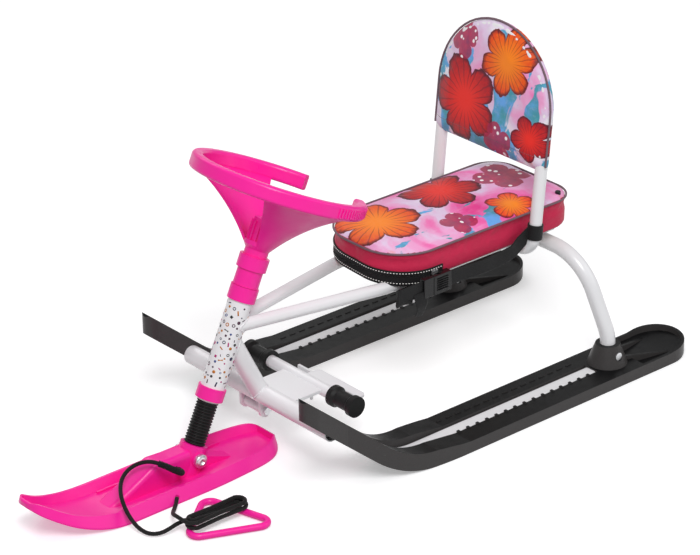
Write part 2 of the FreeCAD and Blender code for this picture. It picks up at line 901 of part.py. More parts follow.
def make_rim():
    """Open ring of the wheel with flat, ribbed ends either side of the gap at the rear."""
    half_gap = wheel_opening_deg / 2
    sweep_deg = 360 - wheel_opening_deg
    rim = Part.Face(rim_section(0)).revolve(V(0, 0, 0), V(0, 0, 1), sweep_deg)
    rim = turned(rim, half_gap)
    pitch_deg = math.degrees(grip_rib_pitch / rim_middle)
    rib_half = rim_depth / 2 - rim_edge_radius
    rib = side_prism(
        [
            (rim_middle, wheel_at - rib_half),
            (rim_middle + rim_width / 2 + grip_rib_height, wheel_at - rib_half),
            (rim_middle + rim_width / 2 + grip_rib_height, wheel_at + rib_half),
            (rim_middle, wheel_at + rib_half),
        ],
        -grip_rib_length / 2,
        grip_rib_length / 2,
    )
    ribs = []
    for number in range(grip_ribs):
        at = half_gap + (number + 1) * pitch_deg
        ribs.append(turned(rib, at))
        ribs.append(turned(rib, -at))
    return rim.fuse(ribs)


def sector(low_deg, high_deg, inner_radius, outer_radius, low, high):
    """Upright block over a sector of the wheel, angles from the front, for a window."""
    places = []
    for angle in (low_deg, (low_deg + high_deg) / 2, high_deg):
        turn = math.radians(180 + angle)
        places.append(V(math.cos(turn), math.sin(turn), 0))
    lift = V(0, 0, low)
    inner = [place * inner_radius + lift for place in places]
    outer = [place * outer_radius + lift for place in places]
    wire = outline(inner[0], [(outer[0],), (outer[1], outer[2]), (inner[2],), (inner[1], inner[0])])
    return Part.Face(wire).extrude(V(0, 0, high - low))


def make_web():
    """Funnel of spokes between hub and rim: a curved shell with windows."""
    foot = V(hub_diameter / 2 - web_thickness / 2, 0, collar_top + web_foot_rise)
    head = V(rim_middle - rim_width / 2 + web_rim_inset, 0, wheel_at - rim_depth / 2 + web_rim_inset)
    chord = (head - foot).normalize()
    normal = V(chord.z, 0, -chord.x)
    middle = (foot + head) / 2 - normal * web_sag
    through = normal * web_thickness
    wire = outline(
        foot, [(middle, head), (head + through,), (middle + through, foot + through), (foot,)]
    )
    shell = Part.Face(wire).revolve(V(0, 0, 0), V(0, 0, 1), 360)
    inner = hub_diameter / 2 + window_hub_gap
    half_front = front_window_deg / 2
    half_rear = rear_window_deg / 2
    high = wheel_at + rim_depth
    windows = [
        sector(-half_front, half_front, inner, rim_middle, collar_top, high),
        sector(180 - half_rear, 180 + half_rear, inner, rim_middle, collar_top, high),
    ]
    return shell.cut(windows)


def make_steering_wheel():
    """Pink wheel: hub with fins, two wings of a funnel as spokes, and the open rim."""
    bore = steering_radius + seat_clearance
    hub_radius = hub_diameter / 2
    hub = ring(hub_radius, bore, collar_top, hub_top - hub_cap)
    cap = ring(hub_radius, wheel_screw_diameter / 2 + seat_clearance, hub_top - hub_cap, hub_top)
    fin = box(
        hub_radius - web_thickness / 2, hub_radius + hub_fin_reach,
        -hub_fin_thickness / 2, hub_fin_thickness / 2,
        collar_top + web_foot_rise + web_thickness, hub_top - hub_fin_margin,
    )
    fins = [turned(fin, number * 360 / hub_fins) for number in range(hub_fins)]
    wheel = make_rim().fuse([make_web(), hub.fuse(cap)] + fins)
    clear_bore = Part.makeCylinder(bore, hub_height - hub_cap, V(0, 0, collar_top))
    return on_steering(wheel.cut(clear_bore))


def make_wheel_screw():
    """Screw that holds the wheel down on the steering tube."""
    foot = V(0, 0, hub_top - wheel_screw_length)
    shank = Part.makeCylinder(wheel_screw_diameter / 2, wheel_screw_length, foot)
    head = Part.makeCylinder(wheel_screw_head_diameter / 2, wheel_screw_head, V(0, 0, hub_top))
    return on_steering(shank.fuse(head).removeSplitter())


def rear_ski_plan():
    """Plan of a rear ski: rounded tail, straight sides and a narrow prong in front."""
    tail_centre = ski_tail_x - ski_half_width
    nose_tip = ski_trace(rear_run, 0)[6].x
    nose_x = nose_tip + ski_nose_half_width
    taper_x = (ski_full_width_x + ski_taper_x) / 2
    taper_y = (ski_half_width + ski_taper_half_width) / 2 + ski_taper_half_width * ski_bow_share
    return outline(
        V(tail_centre, ski_half_width, 0),
        [
            (quarter(tail_centre, ski_half_width, 1), V(ski_tail_x, 0, 0)),
            (quarter(tail_centre, ski_half_width, -1), V(tail_centre, -ski_half_width, 0)),
            (V(ski_full_width_x, -ski_half_width, 0),),
            (V(taper_x, -taper_y, 0), V(ski_taper_x, -ski_taper_half_width, 0)),
            (V(ski_prong_x, -ski_nose_half_width, 0),),
            (V(nose_x, -ski_nose_half_width, 0),),
            (V(nose_tip, 0, 0), V(nose_x, ski_nose_half_width, 0)),
            (V(ski_prong_x, ski_nose_half_width, 0),),
            (V(ski_taper_x, ski_taper_half_width, 0),),
            (V(taper_x, taper_y, 0), V(ski_full_width_x, ski_half_width, 0)),
            (V(tail_centre, ski_half_width, 0),),
        ],
    )


def runner_path(nose_gap):
    """Middle line of a runner tube in its ski, from the hoop's foot to the nose."""
    depth = ski_floor + runner_height / 2
    points = ski_trace(rear_run, depth)
    along = (points[6] - points[5]).normalize()
    start = V(hoop_foot_x - hoop_radius - passing_gap, 0, depth)
    edges = [
        Part.LineSegment(start, points[3]).toShape(),
        Part.Arc(points[3], points[4], points[5]).toShape(),
        Part.LineSegment(points[5], points[6] - along * nose_gap).toShape(),
    ]
    return start, Part.Wire(edges)


def flat_oval(start, width, height):
    """Flat-oval section of a runner tube, square to the sled's length."""
    radius = height / 2
    half_flat = width / 2 - radius
    return outline(
        start + V(0, -half_flat, -radius),
        [
            (start + V(0, half_flat, -radius),),
            (start + V(0, half_flat + radius, 0), start + V(0, half_flat, radius)),
            (start + V(0, -half_flat, radius),),
            (start + V(0, -half_flat - radius, 0), start + V(0, -half_flat, -radius)),
        ],
    )


def make_runner(grow, nose_gap):
    """Flat-oval bar along a ski, grown on every side."""
    start, path = runner_path(nose_gap)
    section = flat_oval(start, runner_width + 2 * grow, runner_height + 2 * grow)
    return path.makePipeShell([section], True, False)


def make_runner_tube():
    """Runner tube of a rear ski."""
    return make_runner(0, runner_nose_gap).cut(make_runner(-runner_wall, runner_nose_gap + runner_wall))


def make_rear_ski(side):
    """Black rear ski: slotted moulding with seats for the hoop and the crossbar and a ribbed tail."""
    height = ski_trace(long_run(rear_run), ski_nose_height)[6].z + overrun
    plan = rear_ski_plan()
    slope_x = ski_bend_x + ski_rail_slope
    blank = ski_layer(long_run(rear_run), 0, ski_nose_height, ski_half_width + overrun)
    blank = blank.common(standing_prism(plan, height))
    tail_top = ski_tail_rise + ski_tail_height
    trim = side_prism(
        [
            (ski_bend_x, ski_nose_height),
            (slope_x, ski_rail_height),
            (rear_run.flat_x, ski_rail_height),
            (ski_tail_x, tail_top),
            (ski_tail_x + overrun, tail_top),
            (ski_tail_x + overrun, height),
            (ski_bend_x, height),
        ],
        -ski_half_width - overrun,
        ski_half_width + overrun,
    )
    ski = blank.cut(trim)
    cut_depth = ski_nose_height + overrun
    dish = ski_layer(long_run(rear_run), spatula_floor, cut_depth, ski_half_width)
    dish = dish.common(standing_prism(plan, height, spatula_rim))
    dish = dish.common(box(spatula_front_x, ski_tail_x, -ski_half_width, ski_half_width, 0, height))
    boss = Part.makeCone(boss_foot_radius, boss_top_radius, boss_height, V(hoop_foot_x, 0, boss_foot_z))
    ski = ski.cut(dish).fuse(boss)
    wedge = side_prism(
        [
            (hoop_foot_x, spatula_floor / 2),
            (hoop_foot_x, spatula_floor + wedge_height),
            (hoop_foot_x + wedge_length, spatula_floor),
            (hoop_foot_x + wedge_length, spatula_floor / 2),
        ],
        -wedge_thickness / 2,
        wedge_thickness / 2,
    )
    for hand in (-1, 1):
        rib = wedge.copy()
        rib.translate(V(0, hand * boss_top_radius / 2, 0))
        rib.rotate(V(hoop_foot_x, 0, 0), V(0, 0, 1), hand * wedge_spread_deg)
        ski = ski.fuse(rib)
    half_slot = runner_width / 2 + runner_side_room
    slot = ski_layer(rear_run, ski_floor + runner_height / 2, cut_depth, half_slot)
    slot = slot.common(box(slot_front_x, slot_rear_x, -half_slot, half_slot, 0, height))
    foot_bore = Part.makeCylinder(hoop_radius + seat_clearance, height, V(hoop_foot_x, 0, hoop_foot_z))
    hole_radius = hoop_bolt_diameter / 2 + seat_clearance
    head_room = hoop_bolt_head_diameter / 2 + passing_gap
    bar_radius = crossbar_diameter / 2 + seat_clearance
    bolt_hole = cross_rod(hoop_foot_x, hoop_bolt_z, -ski_half_width, ski_half_width, hole_radius)
    head_seat = cross_rod(hoop_foot_x, hoop_bolt_z, hoop_bolt_seat, ski_half_width, head_room)
    bar_seat = cross_rod(crossbar_x, crossbar_z, ski_nose_half_width, ski_half_width, bar_radius)
    if side > 0:
        bar_seat = mirrored(bar_seat)
    runner_seat = make_runner(seat_clearance, runner_nose_gap - seat_clearance)
    ski = ski.cut([runner_seat, slot, foot_bore, bolt_hole, head_seat, mirrored(head_seat), bar_seat])
    return ski.fuse(ski_teeth() + ski_dashes()).removeSplitter()


def ski_teeth():
    """Row of small teeth along the near edge of the slot, over the runner tube."""
    edge = -runner_width / 2 - runner_side_room
    low = ski_floor + runner_height + passing_gap
    count = int((slot_rear_x - ski_bend_x - ski_rail_slope) / tooth_pitch)
    teeth = []
    for number in range(count):
        middle = slot_rear_x - (number + 1) * tooth_pitch
        teeth.append(
            box(
                middle - tooth_length / 2, middle + tooth_length / 2, edge - tooth_reach, edge + tooth_reach,
                low, low + tooth_height,
            )
        )
    return teeth


def ski_dashes():
    """Broken rib along the far rail."""
    count = int((slot_rear_x - ski_bend_x - ski_rail_slope) / dash_pitch)
    dashes = []
    for number in range(count):
        middle = slot_rear_x - (number + 1) * dash_pitch
        dashes.append(
            box(
                middle - dash_length / 2, middle + dash_length / 2,
                dash_offset - dash_width / 2, dash_offset + dash_width / 2,
                ski_rail_height / 2, ski_rail_height + dash_height,
            )
        )
    return dashes


def make_hoop_bolts():
    """Two bolts that hold the hoop's feet in the skis, heads outward."""
    shank = cross_rod(hoop_foot_x, hoop_bolt_z, -hoop_bolt_seat, hoop_bolt_seat, hoop_bolt_diameter / 2)
    head = cross_rod(
        hoop_foot_x, hoop_bolt_z, hoop_bolt_seat, hoop_bolt_seat + hoop_bolt_head, hoop_bolt_head_diameter / 2
    )
    nut = mirrored(head)
    bolt = shank.fuse([head, nut]).removeSplitter()
    bolt.translate(V(0, ski_offset_y, 0))
    return Part.makeCompound([bolt, mirrored(bolt)])


def make_crossbar():
    """Front crossbar between the noses of the rear skis."""
    half = ski_offset_y - ski_nose_half_width
    return tube_between(
        V(crossbar_x, -half, crossbar_z), V(crossbar_x, half, crossbar_z), crossbar_diameter / 2, frame_wall
    )


def head_core():
    """Solid of the head tube's outside, to shape what is welded to it."""
    return on_steering(Part.makeCylinder(head_radius, head_tube_length, V(0, 0, head_bottom)))


def crossbar_core():
    """Solid of the crossbar's outside, to shape what is welded to it."""
    return cross_rod(crossbar_x, crossbar_z, -ski_offset_y, ski_offset_y, crossbar_diameter / 2)


def foot_bar_core():
    """Solid of the foot bar's outside, to shape what is welded to it."""
    half = foot_bar_length / 2
    return cross_rod(foot_bar_x, foot_bar_z, -half, half, foot_bar_diameter / 2)


def make_down_tube():
    """Down tube from the head tube to the crossbar."""
    top = V(steer_foot_x + down_tube_top_z * axis_lean, 0, down_tube_top_z)
    bottom = V(crossbar_x, 0, crossbar_z)
    tube = tube_between(top, bottom, down_tube_diameter / 2, frame_wall)
    return tube.cut([head_core(), crossbar_core()])


def rail_points(side):
    """Route of a seat rail from the head tube to the rear."""
    head_x = steer_foot_x + rail_z * axis_lean
    return [
        V(head_x, side * rail_front_half_gap, rail_z),
        V(rail_bend_x, side * rail_half_gap, rail_z),
        V(rail_rear_x, side * rail_half_gap, rail_z),
    ]


def rail_core(side):
    """Solid of a seat rail's outside."""
    return bent_bar(rail_points(side), rail_bend_radius, rail_radius)


def seat_screw_places():
    """Places of the seat's screws along the rails."""
    return [(x, side * rail_half_gap) for x in (seat_screw_front_x, seat_screw_rear_x) for side in (-1, 1)]


def screw_holes():
    """Holes of the seat's screws through rails and seat base."""
    radius = seat_screw_diameter / 2 + seat_clearance
    length = rail_diameter + seat_base_thickness + 2 * overrun
    low = rail_z - rail_radius - overrun
    return [Part.makeCylinder(radius, length, V(x, y, low)) for x, y in seat_screw_places()]


def make_seat_rail(side):
    """Seat rail: a bent tube welded to the head tube."""
    rail = bent_tube(rail_points(side), rail_bend_radius, rail_radius, frame_wall)
    return largest(rail.cut([head_core(), rail_core(-side).common(rail_core(side))] + screw_holes()))


def largest(shape):
    """The biggest solid of a cut shape."""
    return max(shape.Solids, key=lambda solid: solid.Volume)


def make_rear_hoop():
    """Rear hoop: one bent tube from ski to ski under the seat rails."""
    half = [
        V(hoop_foot_x, ski_offset_y, hoop_foot_z),
        V(hoop_foot_x, ski_offset_y, hoop_knee_z),
        V(hoop_top_x, hoop_corner_y, hoop_top_z),
        V(hoop_top_x, 0, hoop_top_z),
    ]
    edges_path = hoop_path(half)
    outer = sweep_round(edges_path, half[0], V(0, 0, 1), hoop_radius)
    inner = sweep_round(edges_path, half[0], V(0, 0, 1), hoop_radius - frame_wall)
    side_tube = outer.cut(inner)
    hoop = side_tube.fuse(mirrored(side_tube)).removeSplitter()
    holes = [
        cross_rod(
            hoop_foot_x, hoop_bolt_z, -ski_offset_y - ski_half_width, ski_offset_y + ski_half_width,
            hoop_bolt_diameter / 2 + seat_clearance,
        )
    ]
    return hoop.cut(holes + [rail_core(-1), rail_core(1)])


def hoop_path(points):
    """Half of the hoop's middle line, with a wide bend at the knee and a tighter one at the corner."""
    knee = bent_path(points[:3], hoop_knee_radius)
    corner = bent_path(points[1:], hoop_corner_radius)
    foot_edges = knee.Edges[:2]
    knee_end = foot_edges[1].valueAt(foot_edges[1].LastParameter)
    corner_start = corner.Edges[1].valueAt(corner.Edges[1].FirstParameter)
    leg = Part.LineSegment(knee_end, corner_start).toShape()
    return Part.Wire(foot_edges + [leg] + corner.Edges[1:])


def make_foot_bar():
    """Foot bar across the front."""
    half = foot_bar_length / 2
    return tube_between(
        V(foot_bar_x, -half, foot_bar_z), V(foot_bar_x, half, foot_bar_z), foot_bar_diameter / 2, frame_wall
    )


def make_foot_grips():
    """Two black spool-shaped grips on the foot bar, closed at their outer ends."""
    half = grip_length / 2
    rim = grip_rim_diameter / 2
    waist = grip_waist_diameter / 2
    bore = foot_bar_diameter / 2 + seat_clearance
    slope = half - grip_rim_length
    points = [
        (bore, -half), (rim, -half), (rim, -slope), (waist, -slope + grip_rim_length / 2),
        (waist, slope - grip_rim_length / 2), (rim, slope), (rim, half), (bore, half),
    ]
    corners = [V(foot_bar_x + radius, grip_centre_y + along, foot_bar_z) for radius, along in points]
    face = Part.Face(Part.makePolygon(corners + corners[:1]))
    grip = face.revolve(V(foot_bar_x, 0, foot_bar_z), V(0, 1, 0), 360)
    cap_low = foot_bar_length / 2 + seat_clearance
    cap = cross_rod(foot_bar_x, foot_bar_z, cap_low, grip_centre_y + half, (bore + waist) / 2)
    grip = grip.fuse(cap).removeSplitter()
    return Part.makeCompound([grip, mirrored(grip)])


def make_brace_plate():
    """Plate that joins the foot bar to the crossbar."""
    low = foot_bar_z
    plate = box(crossbar_x, foot_bar_x, brace_near_y, brace_far_y, low, low + brace_thickness)
    down_core = rod_between(
        V(steer_foot_x + down_tube_top_z * axis_lean, 0, down_tube_top_z),
        V(crossbar_x, 0, crossbar_z),
        down_tube_diameter / 2,
    )
    return largest(plate.cut([crossbar_core(), foot_bar_core(), down_core]))


def make_brake_ears():
    """Two rounded ears under the crossbar that carry the brake's bolt."""
    ears = []
    front = brake_pivot_x - ear_radius
    rear = brake_pivot_x + ear_radius
    hole_radius = brake_bolt_diameter / 2 + seat_clearance
    for middle in (ear_near_y, ear_far_y):
        low = middle - ear_thickness / 2
        high = middle + ear_thickness / 2
        eye = cross_rod(brake_pivot_x, brake_pivot_z, low, high, ear_radius)
        neck = box(front, rear, low, high, brake_pivot_z, foot_bar_z)
        hole = cross_rod(brake_pivot_x, brake_pivot_z, low - overrun, high + overrun, hole_radius)
        ears.append(largest(eye.fuse(neck).removeSplitter().cut([crossbar_core(), hole])))
    return Part.makeCompound(ears)


def make_brake_bolt():
    """Bolt through the ears, with its head on the near side and a nut on the far side."""
    near = ear_near_y - ear_thickness / 2
    far = ear_far_y + ear_thickness / 2
    shank = cross_rod(brake_pivot_x, brake_pivot_z, near, far, brake_bolt_diameter / 2)
    head = cross_rod(brake_pivot_x, brake_pivot_z, near - brake_bolt_head, near, brake_bolt_head_diameter / 2)
    nut = cross_rod(brake_pivot_x, brake_pivot_z, far, far + brake_bolt_head, brake_bolt_head_diameter / 2)
    return shank.fuse([head, nut]).removeSplitter()


def make_brake_lever():
    """Brake lever: sleeve, arm under the foot bar, riser with a rounded tread, and a toothed claw."""
    near = ear_near_y + ear_thickness / 2 + passing_gap
    far = ear_far_y - ear_thickness / 2 - passing_gap
    arm_near = near + brake_arm_margin
    arm_far = far - brake_arm_margin
    riser_rear = brake_riser_x + brake_plate
    half_plate = brake_plate / 2
    sleeve = cross_rod(brake_pivot_x, brake_pivot_z, near, far, brake_sleeve_diameter / 2)
    plate_low = brake_pivot_z - half_plate
    arm = box(brake_pivot_x, riser_rear, arm_near, arm_far, plate_low, brake_pivot_z + half_plate)
    riser = box(brake_riser_x, riser_rear, brake_riser_near_y, arm_far, plate_low, brake_riser_top_z)
    tread_low = brake_riser_top_z - brake_plate
    tread = box(
        brake_riser_x, brake_riser_x + brake_tread_depth, brake_tread_near_y, arm_near,
        tread_low, brake_riser_top_z,
    )
    rear_corners = [
        edge for edge in tread.Edges
        if abs(edge.tangentAt(edge.FirstParameter).z) > 1 / 2 and edge.CenterOfMass.x > riser_rear
    ]
    tread = tread.makeFillet(brake_tread_round, rear_corners)
    lip = box(
        brake_riser_x - brake_lip_depth, brake_riser_x, brake_lip_near_y, arm_near,
        tread_low, brake_riser_top_z,
    )
    claw = box(brake_riser_x, riser_rear, arm_near, arm_far, brake_pivot_z - claw_drop, brake_pivot_z)
    lever = sleeve.fuse([arm, riser, tread, lip, claw])
    pitch = (arm_far - arm_near) / claw_teeth
    depth = claw_drop / 2
    notch_width = pitch * claw_notch_share
    cuts = []
    for number in range(claw_teeth):
        middle = arm_near + (number + 1 / 2) * pitch
        cuts.append(
            box(
                brake_riser_x - overrun, riser_rear + overrun,
                middle - notch_width / 2, middle + notch_width / 2,
                brake_pivot_z - claw_drop - overrun, brake_pivot_z - claw_drop + depth,
            )
        )
    bore = brake_bolt_diameter / 2 + running_clearance
    cuts.append(cross_rod(brake_pivot_x, brake_pivot_z, near - overrun, far + overrun, bore))
    return lever.cut(cuts).removeSplitter()


def seat_outline(inset, z):
    """Plan of the seat: wide round corners in front, smaller ones behind, drawn in by an inset."""
    front = seat_front_x + inset
    rear = seat_rear_x - inset
    side = seat_half_width - inset
    front_round = seat_front_radius - inset
    rear_round = seat_rear_radius - inset
    front_cut = front_round * (1 - math.sqrt(2) / 2)
    rear_cut = rear_round * (1 - math.sqrt(2) / 2)
    return outline(
        V(front + front_round, -side, z),
        [
            (V(rear - rear_round, -side, z),),
            (V(rear - rear_cut, -side + rear_cut, z), V(rear, -side + rear_round, z)),
            (V(rear, side - rear_round, z),),
            (V(rear - rear_cut, side - rear_cut, z), V(rear - rear_round, side, z)),
            (V(front + front_round, side, z),),
            (V(front + front_cut, side - front_cut, z), V(front, side - front_round, z)),
            (V(front, -side + front_round, z),),
            (V(front + front_cut, -side + front_cut, z), V(front + front_round, -side, z)),
        ],
    )


def make_seat_base():
    """Flat board under the cushion."""
    board = Part.Face(seat_outline(seat_base_inset, seat_base_z)).extrude(V(0, 0, seat_base_thickness))
    return board.cut(screw_holes())


def make_seat_cushion():
    """Boxed cushion with drawn-in sides and a crowned top."""
    band_top = seat_foot_z + zip_band_height + zip_band_thickness
    waist = (band_top + seat_edge_z) / 2
    levels = [
        (seat_foot_inset, seat_foot_z),
        (0, seat_foot_z + zip_band_thickness),
        (0, band_top),
        (seat_draw_in, waist),
        (0, seat_edge_z),
        (seat_crown_inset / 4, seat_edge_z + seat_crown * crown_rise_share),
        (seat_crown_inset, seat_edge_z + seat_crown),
    ]
    cushion = Part.makeLoft([seat_outline(inset, z) for inset, z in levels], True, True)
    recess = Part.Face(seat_outline(seat_base_inset - seat_clearance, seat_base_z))
    recess = recess.extrude(V(0, 0, seat_base_thickness + seat_clearance))
    return cushion.cut([recess, eyelet(seat_clearance)])


def eyelet(grow):
    """Round eyelet let into the cushion's top near its rear corner, grown all round."""
    middle = seat_edge_z + seat_crown * crown_rise_share
    low = middle - eyelet_sink - grow
    place = V(seat_rear_x - eyelet_rear_inset, eyelet_side_inset - seat_half_width, low)
    return Part.makeCylinder(eyelet_diameter / 2 + grow, eyelet_sink + eyelet_height + 2 * grow, place)


def make_seat_piping():
    """Round piping along the top edge of the cushion."""
    reach = piping_diameter / 2 + piping_seat
    path = seat_outline(-reach, seat_edge_z)
    start = path.Edges[0].valueAt(path.Edges[0].FirstParameter)
    return sweep_round(path, start, V(1, 0, 0), piping_diameter / 2)


def make_zip_band():
    """Black band with the zip round the front of the cushion."""
    low = seat_foot_z + zip_band_thickness
    outer = Part.Face(seat_outline(-zip_band_thickness, low)).extrude(V(0, 0, zip_band_height))
    inner = Part.Face(seat_outline(0, low)).extrude(V(0, 0, zip_band_height))
    front = box(
        seat_front_x - overrun, zip_band_rear_x, -seat_half_width - overrun, seat_half_width + overrun,
        low - overrun, low + zip_band_height + overrun,
    )
    return outer.cut(inner).common(front)


def make_zip_slider():
    """Zip slider on the near side of the band, where the front corner starts."""
    middle_x = seat_front_x + seat_front_radius
    inner_y = -seat_half_width - zip_band_thickness - zip_slider_gap
    middle_z = seat_foot_z + zip_band_thickness + zip_band_height / 2
    return box(
        middle_x - zip_slider_length / 2, middle_x + zip_slider_length / 2,
        inner_y - zip_slider_thickness, inner_y,
        middle_z - zip_slider_width / 2, middle_z + zip_slider_width / 2,
    )


def make_seat_screws():
    """Screws from under the rails into the seat base."""
    screws = []
    for x, y in seat_screw_places():
        seat_z = rail_z - rail_radius
        place = V(x, y, seat_z - seat_screw_head)
        head = Part.makeCylinder(seat_screw_head_diameter / 2, seat_screw_head, place)
        length = rail_diameter + seat_base_thickness
        shank = Part.makeCylinder(seat_screw_diameter / 2, length, V(x, y, seat_z))
        screws.append(head.fuse(shank).removeSplitter())
    return Part.makeCompound(screws)


def back_point(y, z):
    """Point of the backrest's leaning plane."""
    return V(back_foot_x + (z - rail_z) * back_lean, y, z)


def back_path():
    """Middle line of the backrest tube: in from the rails, up, and over in a half circle."""
    foot_in = rail_half_gap + rail_radius / 2
    points = [
        back_point(-foot_in, back_foot_z),
        back_point(-back_half_gap, back_foot_z),
        back_point(-back_half_gap, back_arch_z),
    ]
    left = bent_path(points, back_foot_bend)
    right = mirrored(left)
    lean = 1 / math.cos(math.radians(back_lean_deg))
    reach = back_half_gap * math.sqrt(2) / 2
    arch_top = back_point(0, back_arch_z + back_half_gap / lean)
    near_mid = back_point(-reach, back_arch_z + reach / lean)
    far_mid = back_point(reach, back_arch_z + reach / lean)
    edges = left.Edges + right.Edges
    edges.append(Part.Arc(points[2], near_mid, arch_top).toShape())
    edges.append(Part.Arc(arch_top, far_mid, back_point(back_half_gap, back_arch_z)).toShape())
    return points[0], Part.Wire(Part.__sortEdges__(edges))


def back_core(grow):
    """Solid of the backrest tube's outside, grown all round."""
    start, path = back_path()
    return sweep_round(path, start, V(0, 1, 0), back_radius + grow)


def make_back_tube():
    """Backrest tube, one bent piece welded to both rails."""
    tube = back_core(0).cut(back_core(-frame_wall))
    return largest(tube.cut([rail_core(-1), rail_core(1)]))


def pad_outline(inset, depth):
    """Arched outline of the backrest pad in its own plane, drawn in by an inset."""
    side = pad_half_width - inset
    bottom = pad_bottom_z + inset
    corner = pad_corner_radius
    corner_cut = corner * (1 - math.sqrt(2) / 2)
    reach = side * math.sqrt(2) / 2
    return outline(
        V(depth, -side + corner, bottom),
        [
            (V(depth, side - corner, bottom),),
            (V(depth, side - corner_cut, bottom + corner_cut), V(depth, side, bottom + corner)),
            (V(depth, side, back_arch_z),),
            (V(depth, reach, back_arch_z + reach), V(depth, 0, back_arch_z + side)),
            (V(depth, -reach, back_arch_z + reach), V(depth, -side, back_arch_z)),
            (V(depth, -side, bottom + corner),),
            (V(depth, -side + corner_cut, bottom + corner_cut), V(depth, -side + corner, bottom)),
        ],
    )


def lean_back(shape):
    """Lean a shape made upright over the backrest's arch line into the backrest's plane."""
    moved = shape.copy()
    moved.translate(V(back_point(0, back_arch_z).x, 0, 0))
    moved.rotate(back_point(0, back_arch_z), V(0, 1, 0), back_lean_deg)
    return moved


def make_back_pad():
    """Padded cover of the backrest, crowned in front, with a tunnel for the tube."""
    levels = [
        (pad_edge_inset, pad_back),
        (0, pad_back / 2),
        (0, 0),
        (pad_edge_inset, -pad_front / 2),
        (pad_edge_inset * 3, -pad_front),
        (pad_crown_inset, -pad_front - pad_crown),
    ]
    pad = Part.makeLoft([pad_outline(inset, depth) for inset, depth in levels], True, True)
    return lean_back(pad).cut(back_core(pad_tube_room))


def make_back_piping():
    """Round piping up the sides and over the arch of the backrest pad's front edge."""
    depth = -pad_front / 4
    bevel = math.atan(pad_edge_inset / (pad_front / 2))
    reach = (piping_diameter / 2 + piping_seat) / math.cos(bevel)
    path = Part.Wire(pad_outline(pad_edge_inset / 2 - reach, depth).Edges[2:6])
    start = path.Edges[0].valueAt(path.Edges[0].FirstParameter)
    return lean_back(sweep_round(path, start, V(0, 0, 1), piping_diameter / 2))


def belt_band(points, y_low, y_high):
    """Webbing on edge along the seat's side: mitred runs through (x, z) points."""
    half = belt_width / 2
    upper = []
    lower = []
    for number, (x, z) in enumerate(points):
        before = points[max(number - 1, 0)]
        after = points[min(number + 1, len(points) - 1)]
        along = V(after[0] - before[0], 0, after[1] - before[1]).normalize()
        upper.append((x - along.z * half, z + along.x * half))
        lower.append((x + along.z * half, z - along.x * half))
    return side_prism(upper + lower[::-1], y_low, y_high)


def belt_anchor():
    """Point of the near backrest tube that the belt loops round."""
    return back_point(-back_half_gap, belt_anchor_z)


def belt_loop():
    """Sewn loop of webbing round the near backrest tube."""
    middle = belt_anchor()
    along = V(back_lean, 0, 1).normalize()
    start = middle - along * (belt_width / 2)
    end = middle + along * (belt_width / 2)
    return tube_between(start, end, back_radius + passing_gap + belt_loop_wall, belt_loop_wall)


def belt_side(front_x):
    """Webbing from the loop down and forward along the near side of the seat."""
    anchor = belt_anchor()
    inner_y = -belt_side_y
    points = [
        (front_x, belt_run_z),
        (belt_drop_x, belt_run_z),
        (belt_knee_x, (belt_run_z + belt_anchor_z) / 2),
        (anchor.x, belt_anchor_z),
    ]
    band = belt_band(points, inner_y - belt_thickness, inner_y)
    return band.fuse(belt_loop()).cut(back_core(passing_gap))


def make_belt_near():
    """Near half of the lap belt, from the backrest tube to the buckle's socket."""
    return largest(belt_side(buckle_front_x + buckle_length - belt_tuck))


def make_belt_far():
    """Far half of the belt: from the far tube down, slantwise under the rails and up to the buckle's tab."""
    low_z = rail_z - rail_radius - belt_under_gap - belt_thickness
    near_x = belt_under_front_x
    outer = belt_side_y + belt_thickness
    half = belt_width / 2
    far_side = mirrored(largest(belt_side(belt_far_turn_x)))
    near_wall = box(near_x, near_x + belt_width, -outer, -belt_side_y, low_z, belt_run_z + half)
    far_wall = box(
        belt_far_turn_x, belt_far_turn_x + belt_width, belt_side_y, outer, low_z, belt_run_z
    )
    corners = [
        V(near_x, -outer, low_z), V(near_x + belt_width, -outer, low_z),
        V(belt_far_turn_x + belt_width, outer, low_z), V(belt_far_turn_x, outer, low_z),
    ]
    floor = Part.Face(Part.makePolygon(corners + corners[:1])).extrude(V(0, 0, belt_thickness))
    tab_end = box(
        near_x + belt_width, buckle_front_x - buckle_tab_length + belt_tuck, -outer, -belt_side_y,
        belt_run_z - half, belt_run_z + half,
    )
    return far_side.fuse([floor, near_wall, far_wall, tab_end]).removeSplitter()


def buckle_middle_y():
    """Middle plane of the buckle, on the webbing's middle."""
    return -belt_side_y - belt_thickness / 2


def make_buckle_socket():
    """Buckle's socket: a flat shell open to the front with a window on each edge."""
    middle = buckle_middle_y()
    half = buckle_thickness / 2
    rear = buckle_front_x + buckle_length
    low = belt_run_z - buckle_height / 2
    high = belt_run_z + buckle_height / 2
    shell = box(buckle_front_x, rear, middle - half, middle + half, low, high)
    tongue_half = buckle_tongue_thickness / 2 + buckle_room
    cavity = box(
        buckle_front_x - overrun, buckle_front_x + buckle_tongue_length + buckle_room, middle - tongue_half,
        middle + tongue_half, low + buckle_wall, high - buckle_wall,
    )
    window_x = buckle_front_x + buckle_tongue_length / 2
    cavity_end = buckle_front_x + buckle_tongue_length + buckle_room
    windows = box(
        window_x, cavity_end, middle - tongue_half, middle + tongue_half, low - overrun, high + overrun
    )
    return shell.cut([cavity, windows, belt_pocket(rear - belt_tuck, rear + overrun)])


